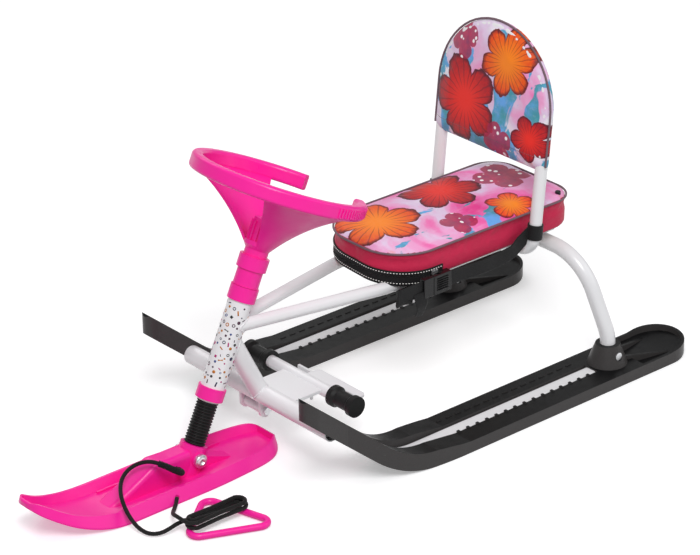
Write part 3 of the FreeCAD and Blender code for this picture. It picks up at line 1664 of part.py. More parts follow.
def make_buckle_tab():
    """Buckle's tab with a tongue of two prongs and a guide between them."""
    middle = buckle_middle_y()
    half = buckle_thickness / 2
    low = belt_run_z - buckle_height / 2
    high = belt_run_z + buckle_height / 2
    front = buckle_front_x - buckle_tab_length
    grip = box(front, buckle_front_x - buckle_room, middle - half, middle + half, low, high)
    tongue_half = buckle_tongue_thickness / 2
    prong = (high - low) / 5
    inset = buckle_wall + buckle_room
    tongue_end = buckle_front_x + buckle_tongue_length
    start = buckle_front_x - buckle_room
    pieces = []
    inner = middle - tongue_half
    outer = middle + tongue_half
    for bottom in (low + inset, (low + high) / 2 - prong / 2, high - inset - prong):
        pieces.append(box(start, tongue_end, inner, outer, bottom, bottom + prong))
    tab = grip.fuse(pieces).removeSplitter()
    return tab.cut(belt_pocket(front - overrun, front + belt_tuck))


def belt_pocket(x_low, x_high):
    """Pocket in the buckle for the end of the webbing."""
    half = belt_width / 2 + seat_clearance
    return box(
        x_low, x_high, -belt_side_y - belt_thickness - seat_clearance, -belt_side_y + seat_clearance,
        belt_run_z - half, belt_run_z + half,
    )


def cord_path(points):
    """Route of a cord: straight runs joined by arcs as large as the runs allow. Prints the radii."""
    places = [V(*point) for point in points]
    edges = []
    radii = []
    here = places[0]
    for before, corner, after in zip(places, places[1:], places[2:]):
        inward = (corner - before).normalize()
        outward = (after - corner).normalize()
        half_turn = inward.getAngle(outward) / 2
        reach = cord_arc_share * min((corner - before).Length, (after - corner).Length)
        radius = reach / math.tan(half_turn)
        radii.append(round(radius, 1))
        start = corner - inward * reach
        end = corner + outward * reach
        bisector = (outward - inward).normalize()
        middle = corner + bisector * (radius / math.cos(half_turn) - radius)
        edges.append(Part.LineSegment(here, start).toShape())
        edges.append(Part.Arc(start, middle, end).toShape())
        here = end
    edges.append(Part.LineSegment(here, places[-1]).toShape())
    print("rope radii", radii)
    return Part.Wire(edges)


def make_rope(route):
    """One free stretch of the rope."""
    path = cord_path(route)
    start = V(*route[0])
    rope = sweep_round(path, start, V(*route[1]) - start, rope_radius)
    print("rope length", round(path.Length, 1))
    print("rope volume share", round(rope.Volume / (math.pi * rope_radius ** 2 * path.Length), 4))
    return rope


def make_rope_front():
    """Rope from the ridge's hole to the start of the hank, which it meets face to face."""
    edge = hank_edges()[0]
    meeting = edge.valueAt(edge.FirstParameter)
    before = meeting - V(rope_lead, 0, 0)
    return make_rope(rope_front_route + [tuple(before), tuple(meeting)])


def make_rope_rear():
    """Rope from the end of the hank to the hole in the ski's near lip."""
    edge = hank_edges()[-1]
    meeting = edge.valueAt(edge.LastParameter)
    after = meeting + V(0, rope_lead, 0)
    return make_rope([tuple(meeting), tuple(after)] + rope_rear_route)


def hank_low_z():
    """Height of the hank's lower layer, lying on the handle."""
    return handle_diameter + rope_radius + hank_rest_gap


def hank_edges():
    """Middle line of the hank: loops that wind in, climb a layer along a run and wind out again."""
    pitch = rope_diameter + hank_gap
    half = hank_run / 2
    count = 2 * hank_loops
    levels = [hank_inner_level + (count - 1 - number) * pitch / 2 for number in range(count)]
    levels[-1] -= hank_waist
    low = hank_low_z()
    high = low + rope_diameter + hank_layer_gap
    rows = [(level, low, low) for level in levels[:-1]]
    rows.append((levels[-1], low, high))
    rows += [(level, high, high) for level in levels[-2:0:-1]]
    lead = V(rope_diameter, 0, 0)
    first = V(hank_x - half, hank_y + levels[0], low)
    edges = [Part.LineSegment(first - lead, first).toShape()]
    for number, (level, start_z, end_z) in enumerate(rows):
        side = 1 - 2 * (number % 2)
        start = V(hank_x - side * half, hank_y + side * level, start_z)
        end = V(hank_x + side * half, hank_y + side * level, end_z)
        edges += waisted_run(start, end, -side) if start_z == end_z else climb(start, end)
        last = number == len(rows) - 1
        next_level = levels[0] if last else rows[number + 1][0]
        radius = (level + next_level) / 2
        centre = end - V(0, side * radius, 0)
        outermost = centre + V(side * radius, 0, 0)
        if last:
            eighth = radius * math.sqrt(2) / 2
            edges.append(Part.Arc(end, centre + V(side * eighth, side * eighth, 0), outermost).toShape())
            edges.append(Part.LineSegment(outermost, outermost - V(0, side * rope_diameter, 0)).toShape())
        else:
            edges.append(Part.Arc(end, outermost, centre - V(0, side * radius, 0)).toShape())
    return edges


def climb(start, end):
    """Two arcs that rise from one layer to the next along a run."""
    middle = (start + end) / 2
    flat = V(end.x - start.x, end.y - start.y, 0)
    rise = end.z - start.z
    quarter_rise = V(0, 0, rise / 8)
    first = start + flat / 4 + quarter_rise
    second = end - flat / 4 - quarter_rise
    return [Part.Arc(start, first, middle).toShape(), Part.Arc(middle, second, end).toShape()]


def waisted_run(start, end, inward):
    """A run of the hank, drawn in at its middle by two arcs and their mirror images."""
    along = end - start
    draw = V(0, inward * hank_waist, 0)
    quarter_in = draw / 8
    half_in = draw / 2
    points = [
        start, start + along / 8 + quarter_in, start + along / 4 + half_in,
        start + along * 3 / 8 + draw - quarter_in, start + along / 2 + draw,
        end - along * 3 / 8 + draw - quarter_in, end - along / 4 + half_in, end - along / 8 + quarter_in, end,
    ]
    return [Part.Arc(points[i], points[i + 1], points[i + 2]).toShape() for i in (0, 2, 4, 6)]


def make_hank():
    """Spare rope wound as one unbroken hank on the handle."""
    edges = hank_edges()
    path = Part.Wire(edges)
    start = edges[0].valueAt(edges[0].FirstParameter)
    heading = edges[0].tangentAt(edges[0].FirstParameter)
    print("hank length", round(path.Length, 1), "least gap", round(hank_least_gap(edges), 2))
    return sweep_round(path, start, heading, rope_radius)


def hank_least_gap(edges):
    """Least gap of the hank to itself, measured on points of its middle line."""
    spots = []
    travelled = 0.0
    for edge in edges:
        count = max(2, int(edge.Length / rope_radius))
        for number in range(count):
            share = number / count
            parameter = edge.FirstParameter + (edge.LastParameter - edge.FirstParameter) * share
            spots.append((travelled + edge.Length * share, edge.valueAt(parameter)))
        travelled += edge.Length
    apart = 4 * rope_diameter
    least = min(
        (one - two).Length
        for index, (at_one, one) in enumerate(spots)
        for at_two, two in spots[index + 1:]
        if at_two - at_one > apart
    )
    return least - rope_diameter


def make_rope_handle():
    """Pink loop handle: a rounded triangle lying flat."""
    z = handle_diameter / 2
    corners = [V(x, y, z) for x, y in (handle_left, handle_top, handle_right)]
    start = (corners[2] + corners[0]) / 2
    points = [start] + corners + [start]
    path = bent_path(points, handle_corner_radius)
    return sweep_round(path, start, corners[0] - start, handle_diameter / 2)


def save(name, shape):
    """Write one piece."""
    print(name, len(shape.Solids), round(shape.Volume), shape.isValid())
    shape.exportStep(os.path.join("parts", name + ".step"))


def build():
    """Make and write every piece."""
    os.makedirs("parts", exist_ok=True)
    save("head_tube", make_head_tube())
    lower_spigot_end = head_bottom + bush_spigot_length
    save("lower_bush", make_bush(lower_bush_bottom, head_bottom, head_bottom, lower_spigot_end))
    save("upper_bush", make_bush(head_top, upper_bush_top, head_top - bush_spigot_length, head_top))
    save("down_tube", make_down_tube())
    save("crossbar", make_crossbar())
    save("brace_plate", make_brace_plate())
    save("foot_bar", make_foot_bar())
    save("foot_grips", make_foot_grips())
    save("seat_rail_left", make_seat_rail(-1))
    save("seat_rail_right", make_seat_rail(1))
    save("rear_hoop", make_rear_hoop())
    for name, side in (("left", -1), ("right", 1)):
        ski = make_rear_ski(side)
        ski.translate(V(0, side * ski_offset_y, 0))
        save("rear_ski_" + name, ski)
        tube = make_runner_tube()
        tube.translate(V(0, side * ski_offset_y, 0))
        save("runner_tube_" + name, tube)
    save("hoop_bolts", make_hoop_bolts())
    save("brake_ears", make_brake_ears())
    save("brake_bolt", make_brake_bolt())
    save("brake_lever", make_brake_lever())
    save("seat_base", make_seat_base())
    save("seat_cushion", make_seat_cushion())
    save("seat_eyelet", eyelet(0))
    save("seat_piping", make_seat_piping())
    save("seat_zip_band", make_zip_band())
    save("zip_slider", make_zip_slider())
    save("seat_screws", make_seat_screws())
    save("back_tube", make_back_tube())
    save("back_pad", make_back_pad())
    save("back_piping", make_back_piping())
    save("belt_near", make_belt_near())
    save("belt_far", make_belt_far())
    save("buckle_socket", make_buckle_socket())
    save("buckle_tab", make_buckle_tab())
    save("steering_tube", make_steering_tube())
    save("column_washer", make_column_washer())
    save("column_sleeve", make_column_sleeve())
    save("steering_wheel", make_steering_wheel())
    save("wheel_screw", make_wheel_screw())
    save("bellows", make_bellows())
    save("front_ski", make_front_ski())
    save("slide_rod", make_slide_rod())
    save("guide_pin", make_guide_pin())
    save("front_ski_bolt", make_front_ski_bolt())
    save("suspension_spring", make_spring())
    save("rope_front", make_rope_front())
    save("rope_hank", make_hank())
    save("rope_rear", make_rope_rear())
    save("rope_handle", make_rope_handle())


build()
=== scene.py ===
import json
import random
from functools import partialmethod
from math import cos, hypot, pi, radians, sin, sqrt, tan

import bmesh
import bpy
from mathutils import Matrix, Vector, noise
from mathutils.bvhtree import BVHTree


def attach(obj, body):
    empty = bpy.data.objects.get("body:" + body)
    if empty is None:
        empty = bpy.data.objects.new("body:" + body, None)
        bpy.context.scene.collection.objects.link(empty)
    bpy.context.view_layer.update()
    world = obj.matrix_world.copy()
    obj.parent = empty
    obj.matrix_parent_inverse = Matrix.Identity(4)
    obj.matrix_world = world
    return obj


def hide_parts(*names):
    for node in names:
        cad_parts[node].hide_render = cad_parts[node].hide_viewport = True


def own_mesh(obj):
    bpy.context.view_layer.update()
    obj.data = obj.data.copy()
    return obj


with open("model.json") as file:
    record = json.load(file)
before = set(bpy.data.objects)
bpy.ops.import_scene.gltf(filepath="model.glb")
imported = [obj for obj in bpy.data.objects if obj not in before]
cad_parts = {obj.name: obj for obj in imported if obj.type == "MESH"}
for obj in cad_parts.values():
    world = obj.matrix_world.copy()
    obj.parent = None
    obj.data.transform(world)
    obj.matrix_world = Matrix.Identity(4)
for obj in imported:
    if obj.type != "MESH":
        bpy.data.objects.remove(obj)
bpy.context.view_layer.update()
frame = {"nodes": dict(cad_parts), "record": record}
parts = frame["nodes"]
scene = bpy.context.scene
draw = random.Random(7)
TURN = 2 * pi
UP = Vector((0, 0, 1))
ACROSS = Vector((0, 1, 0))
ALONG = Vector((1, 0, 0))
SQUARE = ((-1, -1), (1, -1), (1, 1), (-1, 1))

# Steering axis of the sled: where it meets the ground, its direction, and the one across it
STEER_X = -0.289
RAKE = radians(24.8)
STEER_FOOT = Vector((STEER_X, 0.0, 0.0))
STEER_WAY = Vector((sin(RAKE), 0.0, cos(RAKE)))
STEER_CROSS = Vector((cos(RAKE), 0.0, -sin(RAKE)))


def steering_point(distance):
    """Point of the steering axis at a distance from the ground along it."""
    return STEER_FOOT + STEER_WAY * distance


def on_column(radius, angle, distance):
    """Point round the steering axis."""
    spoke = STEER_CROSS * cos(angle) + ACROSS * sin(angle)
    return steering_point(distance) + spoke * radius


def linked(name, data):
    """New object in the scene."""
    obj = bpy.data.objects.new(name, data)
    scene.collection.objects.link(obj)
    return obj


# Camera at the photograph's angle, a long lens far away: degrees, metres, and millimetres for the lens
CAMERA_AZIMUTH, CAMERA_ELEVATION, CAMERA_ROLL = -40.4, 25.8, -0.6
CAMERA_TARGET, CAMERA_DISTANCE = (0.045, 0.0, 0.2234), 4.5368
CAMERA_LENS, CAMERA_SENSOR, CAMERA_CLIP = 150.65, 36.0, 60.0


def place_camera():
    """Camera aimed at the sled, rolled a little as in the photograph."""
    data = bpy.data.cameras.new("camera")
    data.sensor_fit = "HORIZONTAL"
    data.sensor_width = CAMERA_SENSOR
    data.lens = CAMERA_LENS
    data.clip_end = CAMERA_CLIP
    camera = linked("camera", data)
    turn = Matrix.Identity(4)
    for angle, axis in ((CAMERA_AZIMUTH, "Z"), (90 - CAMERA_ELEVATION, "X"), (CAMERA_ROLL, "Z")):
        turn = turn @ Matrix.Rotation(radians(angle), 4, axis)
    away = Matrix.Translation((0, 0, CAMERA_DISTANCE))
    camera.matrix_world = Matrix.Translation(CAMERA_TARGET) @ turn @ away
    scene.camera = camera


def area_light(name, place, target, size, power):
    """Soft light aimed at a point."""
    data = bpy.data.lights.new(name, "AREA")
    data.size = size
    data.energy = power
    light = linked(name, data)
    way = Vector(target) - Vector(place)
    turn = way.to_track_quat("-Z", "Y").to_matrix().to_4x4()
    light.matrix_world = Matrix.Translation(place) @ turn


place_camera()


# Mesh helpers: a shape is a list of vertices and a list of faces

def add_object(name, verts, faces, materials, smooth=True):
    """New mesh object in the scene."""
    mesh = bpy.data.meshes.new(name)
    mesh.from_pydata([tuple(v) for v in verts], [], faces)
    mesh.validate()
    for material in materials:
        mesh.materials.append(material)
    if smooth:
        mesh.shade_smooth()
    return linked(name, mesh)


def evaluated_mesh(obj):
    """New mesh with an object's modifiers applied."""
    depsgraph = bpy.context.evaluated_depsgraph_get()
    return bpy.data.meshes.new_from_object(obj.evaluated_get(depsgraph))


def apply_modifiers(obj):
    """Replace an object's mesh by what its modifiers make of it."""
    old, made = obj.data, evaluated_mesh(obj)
    obj.modifiers.clear()
    obj.data = made
    bpy.data.meshes.remove(old)


def angles(count):
    """Even angles round a circle."""
    return [TURN * k / count for k in range(count)]


def circle(radius, count):
    """Points of a circle about the origin."""
    return [(radius * cos(angle), radius * sin(angle)) for angle in angles(count)]


def arc(x, y, radius, first, degrees, steps):
    """Points of an arc about (x, y), from its first angle on."""
    bends = [radians(first + degrees * k / steps) for k in range(steps + 1)]
    return [(x + radius * cos(bend), y + radius * sin(bend)) for bend in bends]


def tube_faces(count, size, closed=False):
    """Faces between rings of points, with a cap at both ends unless the tube is closed."""
    faces = []
    for number in range(count if closed else count - 1):
        here = number * size
        there = ((number + 1) % count) * size
        for k in range(size):
            n = (k + 1) % size
            faces.append((here + k, here + n, there + n, there + k))
    if not closed:
        faces.append(tuple(range(size - 1, -1, -1)))
        faces.append(tuple(range((count - 1) * size, count * size)))
    return faces


def loft(rings):
    """Shape through rings of points."""
    return [Vector(p) for ring in rings for p in ring], tube_faces(len(rings), len(rings[0]))


def run_lengths(path):
    """Distance along a path at each of its points."""
    reached = [0.0]
    for before, after in zip(path, path[1:]):
        reached.append(reached[-1] + (after - before).length)
    return reached


def evenly(points, gap, closed=False):
    """Points at even distances along a line."""
    line = [Vector(p) for p in points]
    if closed:
        line.append(line[0].copy())
    reached = run_lengths(line)
    count = max(2, round(reached[-1] / gap))
    even = []
    at = 0
    for number in range(count if closed else count + 1):
        goal = reached[-1] * number / count
        while at < len(line) - 2 and reached[at + 1] < goal:
            at += 1
        span = reached[at + 1] - reached[at]
        share = (goal - reached[at]) / span if span else 0.0
        even.append(line[at].lerp(line[at + 1], share))
    return even


def squared(way, along):
    """Unit vector nearest to a direction that is square to another."""
    return (way - along * way.dot(along)).normalized()


def sweep(path, section, guides=None, closed=False):
    """Shape of a section carried along a path.

    section: offsets (a, b), or a function (number, distance) that gives them at a point of the path.
    guides, one for all points or a list, give the direction of a; without them it is carried along."""
    padded = path[-1:] + path + path[:1] if closed else path[:1] + path + path[-1:]
    verts = []
    side_way = None
    for number, distance in enumerate(run_lengths(path)):
        along = (padded[number + 2] - padded[number]).normalized()
        if guides is not None:
            side_way = guides[number] if isinstance(guides, list) else guides
        elif side_way is None:
            side_way = along.orthogonal()
        side_way = squared(side_way, along)
        cross_way = along.cross(side_way)
        offsets = section(number, distance) if callable(section) else section
        verts += [path[number] + side_way * a + cross_way * b for a, b in offsets]
    return verts, tube_faces(len(path), len(verts) // len(path), closed)


def merge(shapes):
    """Join shapes into one."""
    verts = []
    faces = []
    for some_verts, some_faces in shapes:
        base = len(verts)
        verts += some_verts
        faces += [tuple(base + i for i in face) for face in some_faces]
    return verts, faces


def nurbs_points(points, resolution):
    """Points along the smooth spline that a route's points control."""
    curve = bpy.data.curves.new("route", "CURVE")
    curve.dimensions = "3D"
    curve.resolution_u = resolution
    spline = curve.splines.new("NURBS")
    spline.points.add(len(points) - 1)
    for control, place in zip(spline.points, points):
        control.co = (*place, 1.0)
    spline.order_u = 3
    spline.use_endpoint_u = True
    holder = bpy.data.objects.new("route", curve)
    mesh = bpy.data.meshes.new_from_object(holder)
    line = [v.co.copy() for v in mesh.vertices]
    bpy.data.meshes.remove(mesh)
    bpy.data.objects.remove(holder)
    bpy.data.curves.remove(curve)
    return line


# Materials

class Shader:
    """A material with a principled shader and short calls for the nodes that feed it."""

    def __init__(self, name, **values):
        self.material = bpy.data.materials.new(name)
        self.material.use_nodes = True
        self.tree = self.material.node_tree
        self.surface = self.tree.nodes["Principled BSDF"]
        self.place = self.node("TexCoord", "Object", {})
        self.set(**values)

    def feed(self, socket, value):
        if hasattr(value, "is_output"):
            self.tree.links.new(value, socket)
        elif isinstance(value, tuple) and len(value) == 3 and socket.type == "RGBA":
            socket.default_value = (*value, 1.0)
        else:
            socket.default_value = value

    def set(self, **values):
        """Feed the surface's inputs by name, with _ for a space."""
        for key, value in values.items():
            self.feed(self.surface.inputs[key.replace("_", " ")], value)

    def paint(self, tone, uneven, low, high, most=0.8):
        """Set the colour, and a roughness that goes from low to high with an unevenness."""
        self.set(Base_Color=tone, Roughness=self.span(uneven, 0.2, most, low, high))

    def node(self, kind, output, inputs, **settings):
        """Output of a new node."""
        node = self.tree.nodes.new("ShaderNode" + kind)
        for key, value in settings.items():
            setattr(node, key, value)
        for key, value in inputs.items():
            self.feed(node.inputs[key], value)
        return node.outputs[output]

    def noise(self, scale, detail=3.0, rough=0.55, place=None, warp=0.0):
        return self.node("TexNoise", "Fac", {
            "Vector": place or self.place, "Scale": scale, "Detail": detail, "Roughness": rough,
            "Distortion": warp,
        })

    def math(self, operation, a, b=0.0, c=0.0):
        return self.node("Math", 0, {0: a, 1: b, 2: c}, operation=operation)

    times = partialmethod(math, "MULTIPLY")
    plus = partialmethod(math, "ADD")
    minus = partialmethod(math, "SUBTRACT")

    def span(self, value, low, high, out_low=0.0, out_high=1.0):
        return self.node("MapRange", "Result", {
            "Value": value, "From Min": low, "From Max": high, "To Min": out_low, "To Max": out_high,
        }, interpolation_type="SMOOTHSTEP")

    def mix(self, share, a, b):
        return self.node("Mix", 2, {0: share, 6: a, 7: b}, data_type="RGBA")

    def ramp(self, share, stops):
        output = self.node("ValToRGB", "Color", {"Fac": share})
        ramp = output.node.color_ramp
        ramp.interpolation = "EASE"
        while len(ramp.elements) < len(stops):
            ramp.elements.new(0.5)
        for element, (at, colour) in zip(ramp.elements, stops):
            element.position = at
            element.color = (*colour, 1.0)
        return output

    def axes(self, vector):
        return tuple(self.node("SeparateXYZ", 0, {0: vector}).node.outputs)

    def stretched(self, x, y, z, turn=(0.0, 0.0, 0.0)):
        inputs = {"Vector": self.place, "Scale": (x, y, z), "Rotation": turn}
        return self.node("Mapping", "Vector", inputs)

    def waves(self, place, scale, axis):
        return self.node("TexWave", "Fac", {"Vector": place, "Scale": scale}, wave_type="BANDS",
                         bands_direction=axis, wave_profile="SIN")

    def bump(self, height, strength, depth):
        inputs = {"Height": height, "Strength": strength, "Distance": depth}
        before = self.surface.inputs["Normal"].links
        if before:
            inputs["Normal"] = before[0].from_socket
        self.set(Normal=self.node("Bump", "Normal", inputs))


def shades(colour, spread):
    """Darker and lighter version of a colour."""
    return tuple(c * (1 - spread) for c in colour), tuple(min(1.0, c * (1 + spread)) for c in colour)


def moulded(name, colour, roughness, spread, grain=1400.0, relief=0.12, scuff=0.0, sides=None, vary=0.25,
            **values):
    """Moulded plastic or painted metal: slight mottling, fine grain, scuffs along the sled, and upright
    sides in a lighter tone, a painted reflection of light from the floor."""
    mat = Shader(name, **values)
    tone = mat.mix(mat.noise(18.0, 4.0), *shades(colour, spread))
    # Painted light: upright faces take a lighter grey, a painted reflection of the floor's light
    if sides:
        normal = mat.node("NewGeometry", "Normal", {})
        level = mat.math("ABSOLUTE", mat.axes(normal)[2])
        painted_side_light = mat.mix(mat.noise(500.0, 3.0), *shades(sides, 0.2))
        tone = mat.mix(mat.span(level, 0.35, 0.6, 1.0, 0.0), tone, painted_side_light)
    uneven = mat.noise(60.0, 5.0, 0.6)
    if scuff:
        marks = mat.span(mat.noise(1.0, 6.0, 0.7, mat.stretched(9.0, 420.0, 300.0)), 0.62, 0.74)
        marks = mat.times(marks, mat.span(mat.noise(25.0), 0.45, 0.6))
        marks = mat.times(marks, scuff)
        tone = mat.mix(marks, tone, tuple(c + (0.5 - c) * 0.35 for c in colour))
        uneven = mat.plus(uneven, marks)
    mat.paint(tone, uneven, roughness * (1 - vary), roughness * (1 + vary), 0.9)
    mat.bump(mat.noise(grain, 2.0), relief, 0.0003)
    mat.bump(mat.noise(40.0, 2.0), 0.02, 0.0012)
    return mat.material


def brushed(name, colour, roughness):
    """Zinc-plated steel with fine drawn lines."""
    mat = Shader(name, Metallic=1.0)
    lines = mat.noise(1.0, 5.0, 0.7, mat.stretched(300.0, 2600.0, 300.0))
    tone = mat.mix(mat.noise(90.0, 4.0), *shades(colour, 0.15))
    mat.paint(tone, lines, roughness * 0.7, roughness * 1.4)
    mat.bump(lines, 0.15, 0.0002)
    return mat.material


def weave(mat, pitch, strength):
    """Fine plain weave in any direction of the cloth."""
    scale = 0.3142 / pitch
    one = mat.waves(mat.stretched(1.0, 1.0, 0.0, (0.0, 0.0, 0.6)), scale, "X")
    two = mat.waves(mat.stretched(1.0, 1.0, 1.0, (0.5, 0.4, 0.6)), scale, "Z")
    mat.bump(mat.times(one, two), strength, pitch * 0.4)


def cloth_material(name, colour, spread, pitch, roughness, sheen):
    """Plain woven cloth with sheen, uneven dye and soft creases."""
    mat = Shader(name, Sheen_Weight=sheen, Sheen_Roughness=0.4, Specular_IOR_Level=0.3)
    low, high = shades(colour, spread)
    tone = mat.mix(mat.noise(22.0, 5.0, 0.6), low, high)
    thread = mat.noise(900.0, 2.0)
    tone = mat.mix(mat.span(thread, 0.3, 0.8, 0.0, 0.25), tone, low)
    mat.paint(tone, thread, roughness * 0.9, roughness * 1.1)
    mat.bump(mat.noise(1.0, 4.0, 0.6, mat.stretched(14.0, 14.0, 45.0)), 0.25, 0.004)
    weave(mat, pitch, 0.35)
    return mat.material


def webbing_material(name, colour):
    """Ribbed woven tape."""
    mat = Shader(name, Sheen_Weight=0.06, Sheen_Roughness=0.5, Specular_IOR_Level=0.25)
    fibre = mat.noise(1.0, 3.0, 0.6, mat.stretched(500.0, 900.0, 2600.0))
    mat.paint(mat.mix(fibre, *shades(colour, 0.35)), fibre, 0.55, 0.8)
    weave(mat, 0.0012, 0.5)
    return mat.material


# Colours of the print
RED, DEEP_RED = (0.82, 0.03, 0.02), (0.34, 0.008, 0.02)
ORANGE, DEEP_ORANGE = (0.95, 0.25, 0.012), (0.78, 0.06, 0.01)
WASHES = [
    (0.30, (0.80, 0.04, 0.28)), (0.41, (0.86, 0.17, 0.46)), (0.50, (0.82, 0.36, 0.62)),
    (0.59, (0.74, 0.58, 0.78)), (0.68, (0.82, 0.80, 0.87)),
]
SEA_GREEN, SKY_BLUE = (0.0, 0.30, 0.36), (0.08, 0.40, 0.84)
CORAL = (0.86, 0.30, 0.22)
PALE_STREAK = (0.86, 0.78, 0.88)
VEIN_INK, RIM_INK = (0.08, 0.008, 0.02), (0.03, 0.005, 0.02)
SPLASH_DARK, SPLASH_RED = (0.10, 0.01, 0.06), (0.62, 0.02, 0.07)
DOT_WHITE = (0.93, 0.90, 0.92)


def bloom(mat, u, v, centre, size, pairs, turn, ragged):
    """Masks of a round flower with pairs of petals, painted on the cloth: its petals, their dark rim and
    veins, and the reach from its middle."""
    du = mat.minus(u, centre[0])
    dv = mat.minus(v, centre[1])
    reach = mat.math("SQRT", mat.plus(mat.times(du, du), mat.times(dv, dv)))
    angle = mat.math("ARCTAN2", dv, du)
    lobes = mat.math("COSINE", mat.math("MULTIPLY_ADD", angle, pairs, turn))
    lobes = mat.math("POWER", mat.math("ABSOLUTE", lobes), 0.55)
    uneven = mat.minus(ragged, 0.5)
    edge = mat.math("MULTIPLY_ADD", lobes, size * 0.42, size * 0.58)
    edge = mat.plus(edge, mat.times(uneven, size * 0.22))
    inside = mat.minus(edge, reach)
    petal = mat.span(inside, 0.0, 0.0016)
    rim = mat.minus(petal, mat.span(inside, size * 0.02, size * 0.17))
    veins = mat.math("MULTIPLY_ADD", uneven, 2.5, mat.times(angle, pairs * 9))
    veins = mat.span(mat.math("COSINE", veins), 0.72, 1.0)
    veins = mat.times(veins, mat.span(reach, size * 0.15, size * 0.45))
    return petal, rim, mat.times(veins, petal), mat.span(reach, size * 0.1, size * 0.95)


def printed_cloth(name, upright, cool_from, pale, blooms, speckles):
    """Cloth with a loose watercolour print: washes, flowers and dotted splashes.

    upright: it faces forward. blooms: centre, size, pairs of petals, turn, inner and outer colour."""
    mat = Shader(name, Sheen_Weight=0.05, Sheen_Roughness=0.4, Specular_IOR_Level=0.3)
    x, y, z = mat.axes(mat.place)
    u, v = (y, z) if upright else (x, y)
    tone = mat.ramp(mat.plus(mat.noise(9.0, 5.0, 0.5, warp=0.7), pale), WASHES)
    cool = mat.noise(11.0, 4.0, 0.55, mat.stretched(1.0, 1.6, 1.0, (0.4, 0.9, 0.3)), 0.9)
    cool = mat.span(cool, cool_from, cool_from + 0.03)
    depth = mat.span(mat.noise(24.0, 4.0, 0.55), 0.38, 0.62)
    tone = mat.mix(mat.times(cool, 0.92), tone, mat.mix(depth, SEA_GREEN, SKY_BLUE))
    warm = mat.noise(13.0, 4.0, 0.5, mat.stretched(1.2, 1.0, 1.3, (0.9, 0.2, 1.4)), 0.6)
    tone = mat.mix(mat.span(warm, 0.63, 0.72, 0.0, 0.75), tone, CORAL)
    streaks = mat.noise(1.0, 6.0, 0.7, mat.stretched(40.0, 110.0, 160.0))
    tone = mat.mix(mat.span(streaks, 0.5, 0.8, 0.0, 0.22), tone, PALE_STREAK)
    ragged = mat.noise(70.0, 4.0, 0.6)
    grain = mat.noise(160.0, 4.0, 0.65)
    for centre, size, pairs, turn, inner, outer in blooms:
        petal, rim, veins, reach = bloom(mat, u, v, centre, size, pairs, turn, ragged)
        paint = mat.mix(reach, inner, outer)
        paint = mat.mix(mat.span(grain, 0.4, 0.75, 0.0, 0.45), paint, inner)
        tone = mat.mix(petal, tone, paint)
        tone = mat.mix(mat.times(veins, 0.5), tone, VEIN_INK)
        tone = mat.mix(mat.times(rim, 0.9), tone, RIM_INK)
    splash = mat.mix(ragged, SPLASH_DARK, SPLASH_RED)
    cells = mat.node("TexVoronoi", "Distance", {"Vector": mat.place, "Scale": 70.0}, feature="F1")
    dots = mat.span(cells, 0.22, 0.28, 1.0, 0.0)
    for centre, size in speckles:
        petal = bloom(mat, u, v, centre, size, 2.0, 0.7, ragged)[0]
        tone = mat.mix(mat.times(petal, 0.9), tone, splash)
        tone = mat.mix(mat.times(dots, petal), tone, DOT_WHITE)
    mat.paint(tone, grain, 0.42, 0.6)
    mat.bump(mat.noise(35.0, 3.0), 0.12, 0.003)
    weave(mat, 0.0008, 0.22)
    return mat.material


# Moulded and painted finishes: colour, roughness, spread of tone, grain's scale and relief, and more
MOULDED = {
    "white_paint": ((0.80, 0.80, 0.82), 0.30, 0.012, 240.0, 0.015,
                    dict(vary=0.06, Coat_Weight=0.3, Coat_Roughness=0.12)),
    "pink_plastic": ((0.92, 0.012, 0.33), 0.36, 0.03, 1200.0, 0.08,
                     dict(Specular_IOR_Level=0.4, Subsurface_Weight=0.03,
                          Subsurface_Radius=(0.004, 0.001, 0.002))),
    "white_plastic": ((0.78, 0.78, 0.78), 0.42, 0.03, 1400.0, 0.12, {}),
    # black_plastic: its sides tone is painted light, upright faces lighter as if lit from the floor
    "black_plastic": ((0.0045, 0.0045, 0.005), 0.40, 0.25, 1600.0, 0.22,
                      dict(scuff=0.3, sides=(0.045, 0.042, 0.042), Specular_IOR_Level=0.22)),
    "buckle_plastic": ((0.006, 0.006, 0.0065), 0.26, 0.25, 1200.0, 0.1, dict(Specular_IOR_Level=0.3)),
    "black_rubber": ((0.006, 0.006, 0.006), 0.55, 0.3, 1800.0, 0.3, dict(Specular_IOR_Level=0.3)),
    "board": ((0.42, 0.27, 0.14), 0.7, 0.25, 500.0, 0.3, {}),
}
FINISH = {name: moulded(name, *row[:-1], **row[-1]) for name, row in MOULDED.items()}
FINISH.update({
    "zinc_steel": brushed("zinc_steel", (0.80, 0.81, 0.83), 0.34),
    "webbing": webbing_material("webbing", (0.0055, 0.0055, 0.006)),
    "rope": webbing_material("rope_fibre", (0.005, 0.005, 0.005)),
    "seat_fabric": cloth_material("seat_side_cloth", (0.56, 0.014, 0.068), 0.14, 0.0009, 0.6, 0.12),
    "piping": cloth_material("piping_cloth", (0.17, 0.105, 0.13), 0.25, 0.0007, 0.6, 0.1),
    "zip_tape": cloth_material("band_cloth", (0.0055, 0.0055, 0.006), 0.4, 0.0010, 0.85, 0.04),
    "back_fabric": printed_cloth(
        "back_print", upright=True, cool_from=0.51, pale=0.07,
        blooms=[
            ((0.050, 0.428), 0.074, 2.5, 0.2, RED, DEEP_RED),
            ((-0.036, 0.512), 0.058, 3.0, 1.0, ORANGE, DEEP_ORANGE),
            ((-0.098, 0.404), 0.040, 2.5, 0.5, RED, DEEP_RED),
        ],
        speckles=[((0.066, 0.524), 0.034), ((-0.028, 0.380), 0.034)],
    ),
})
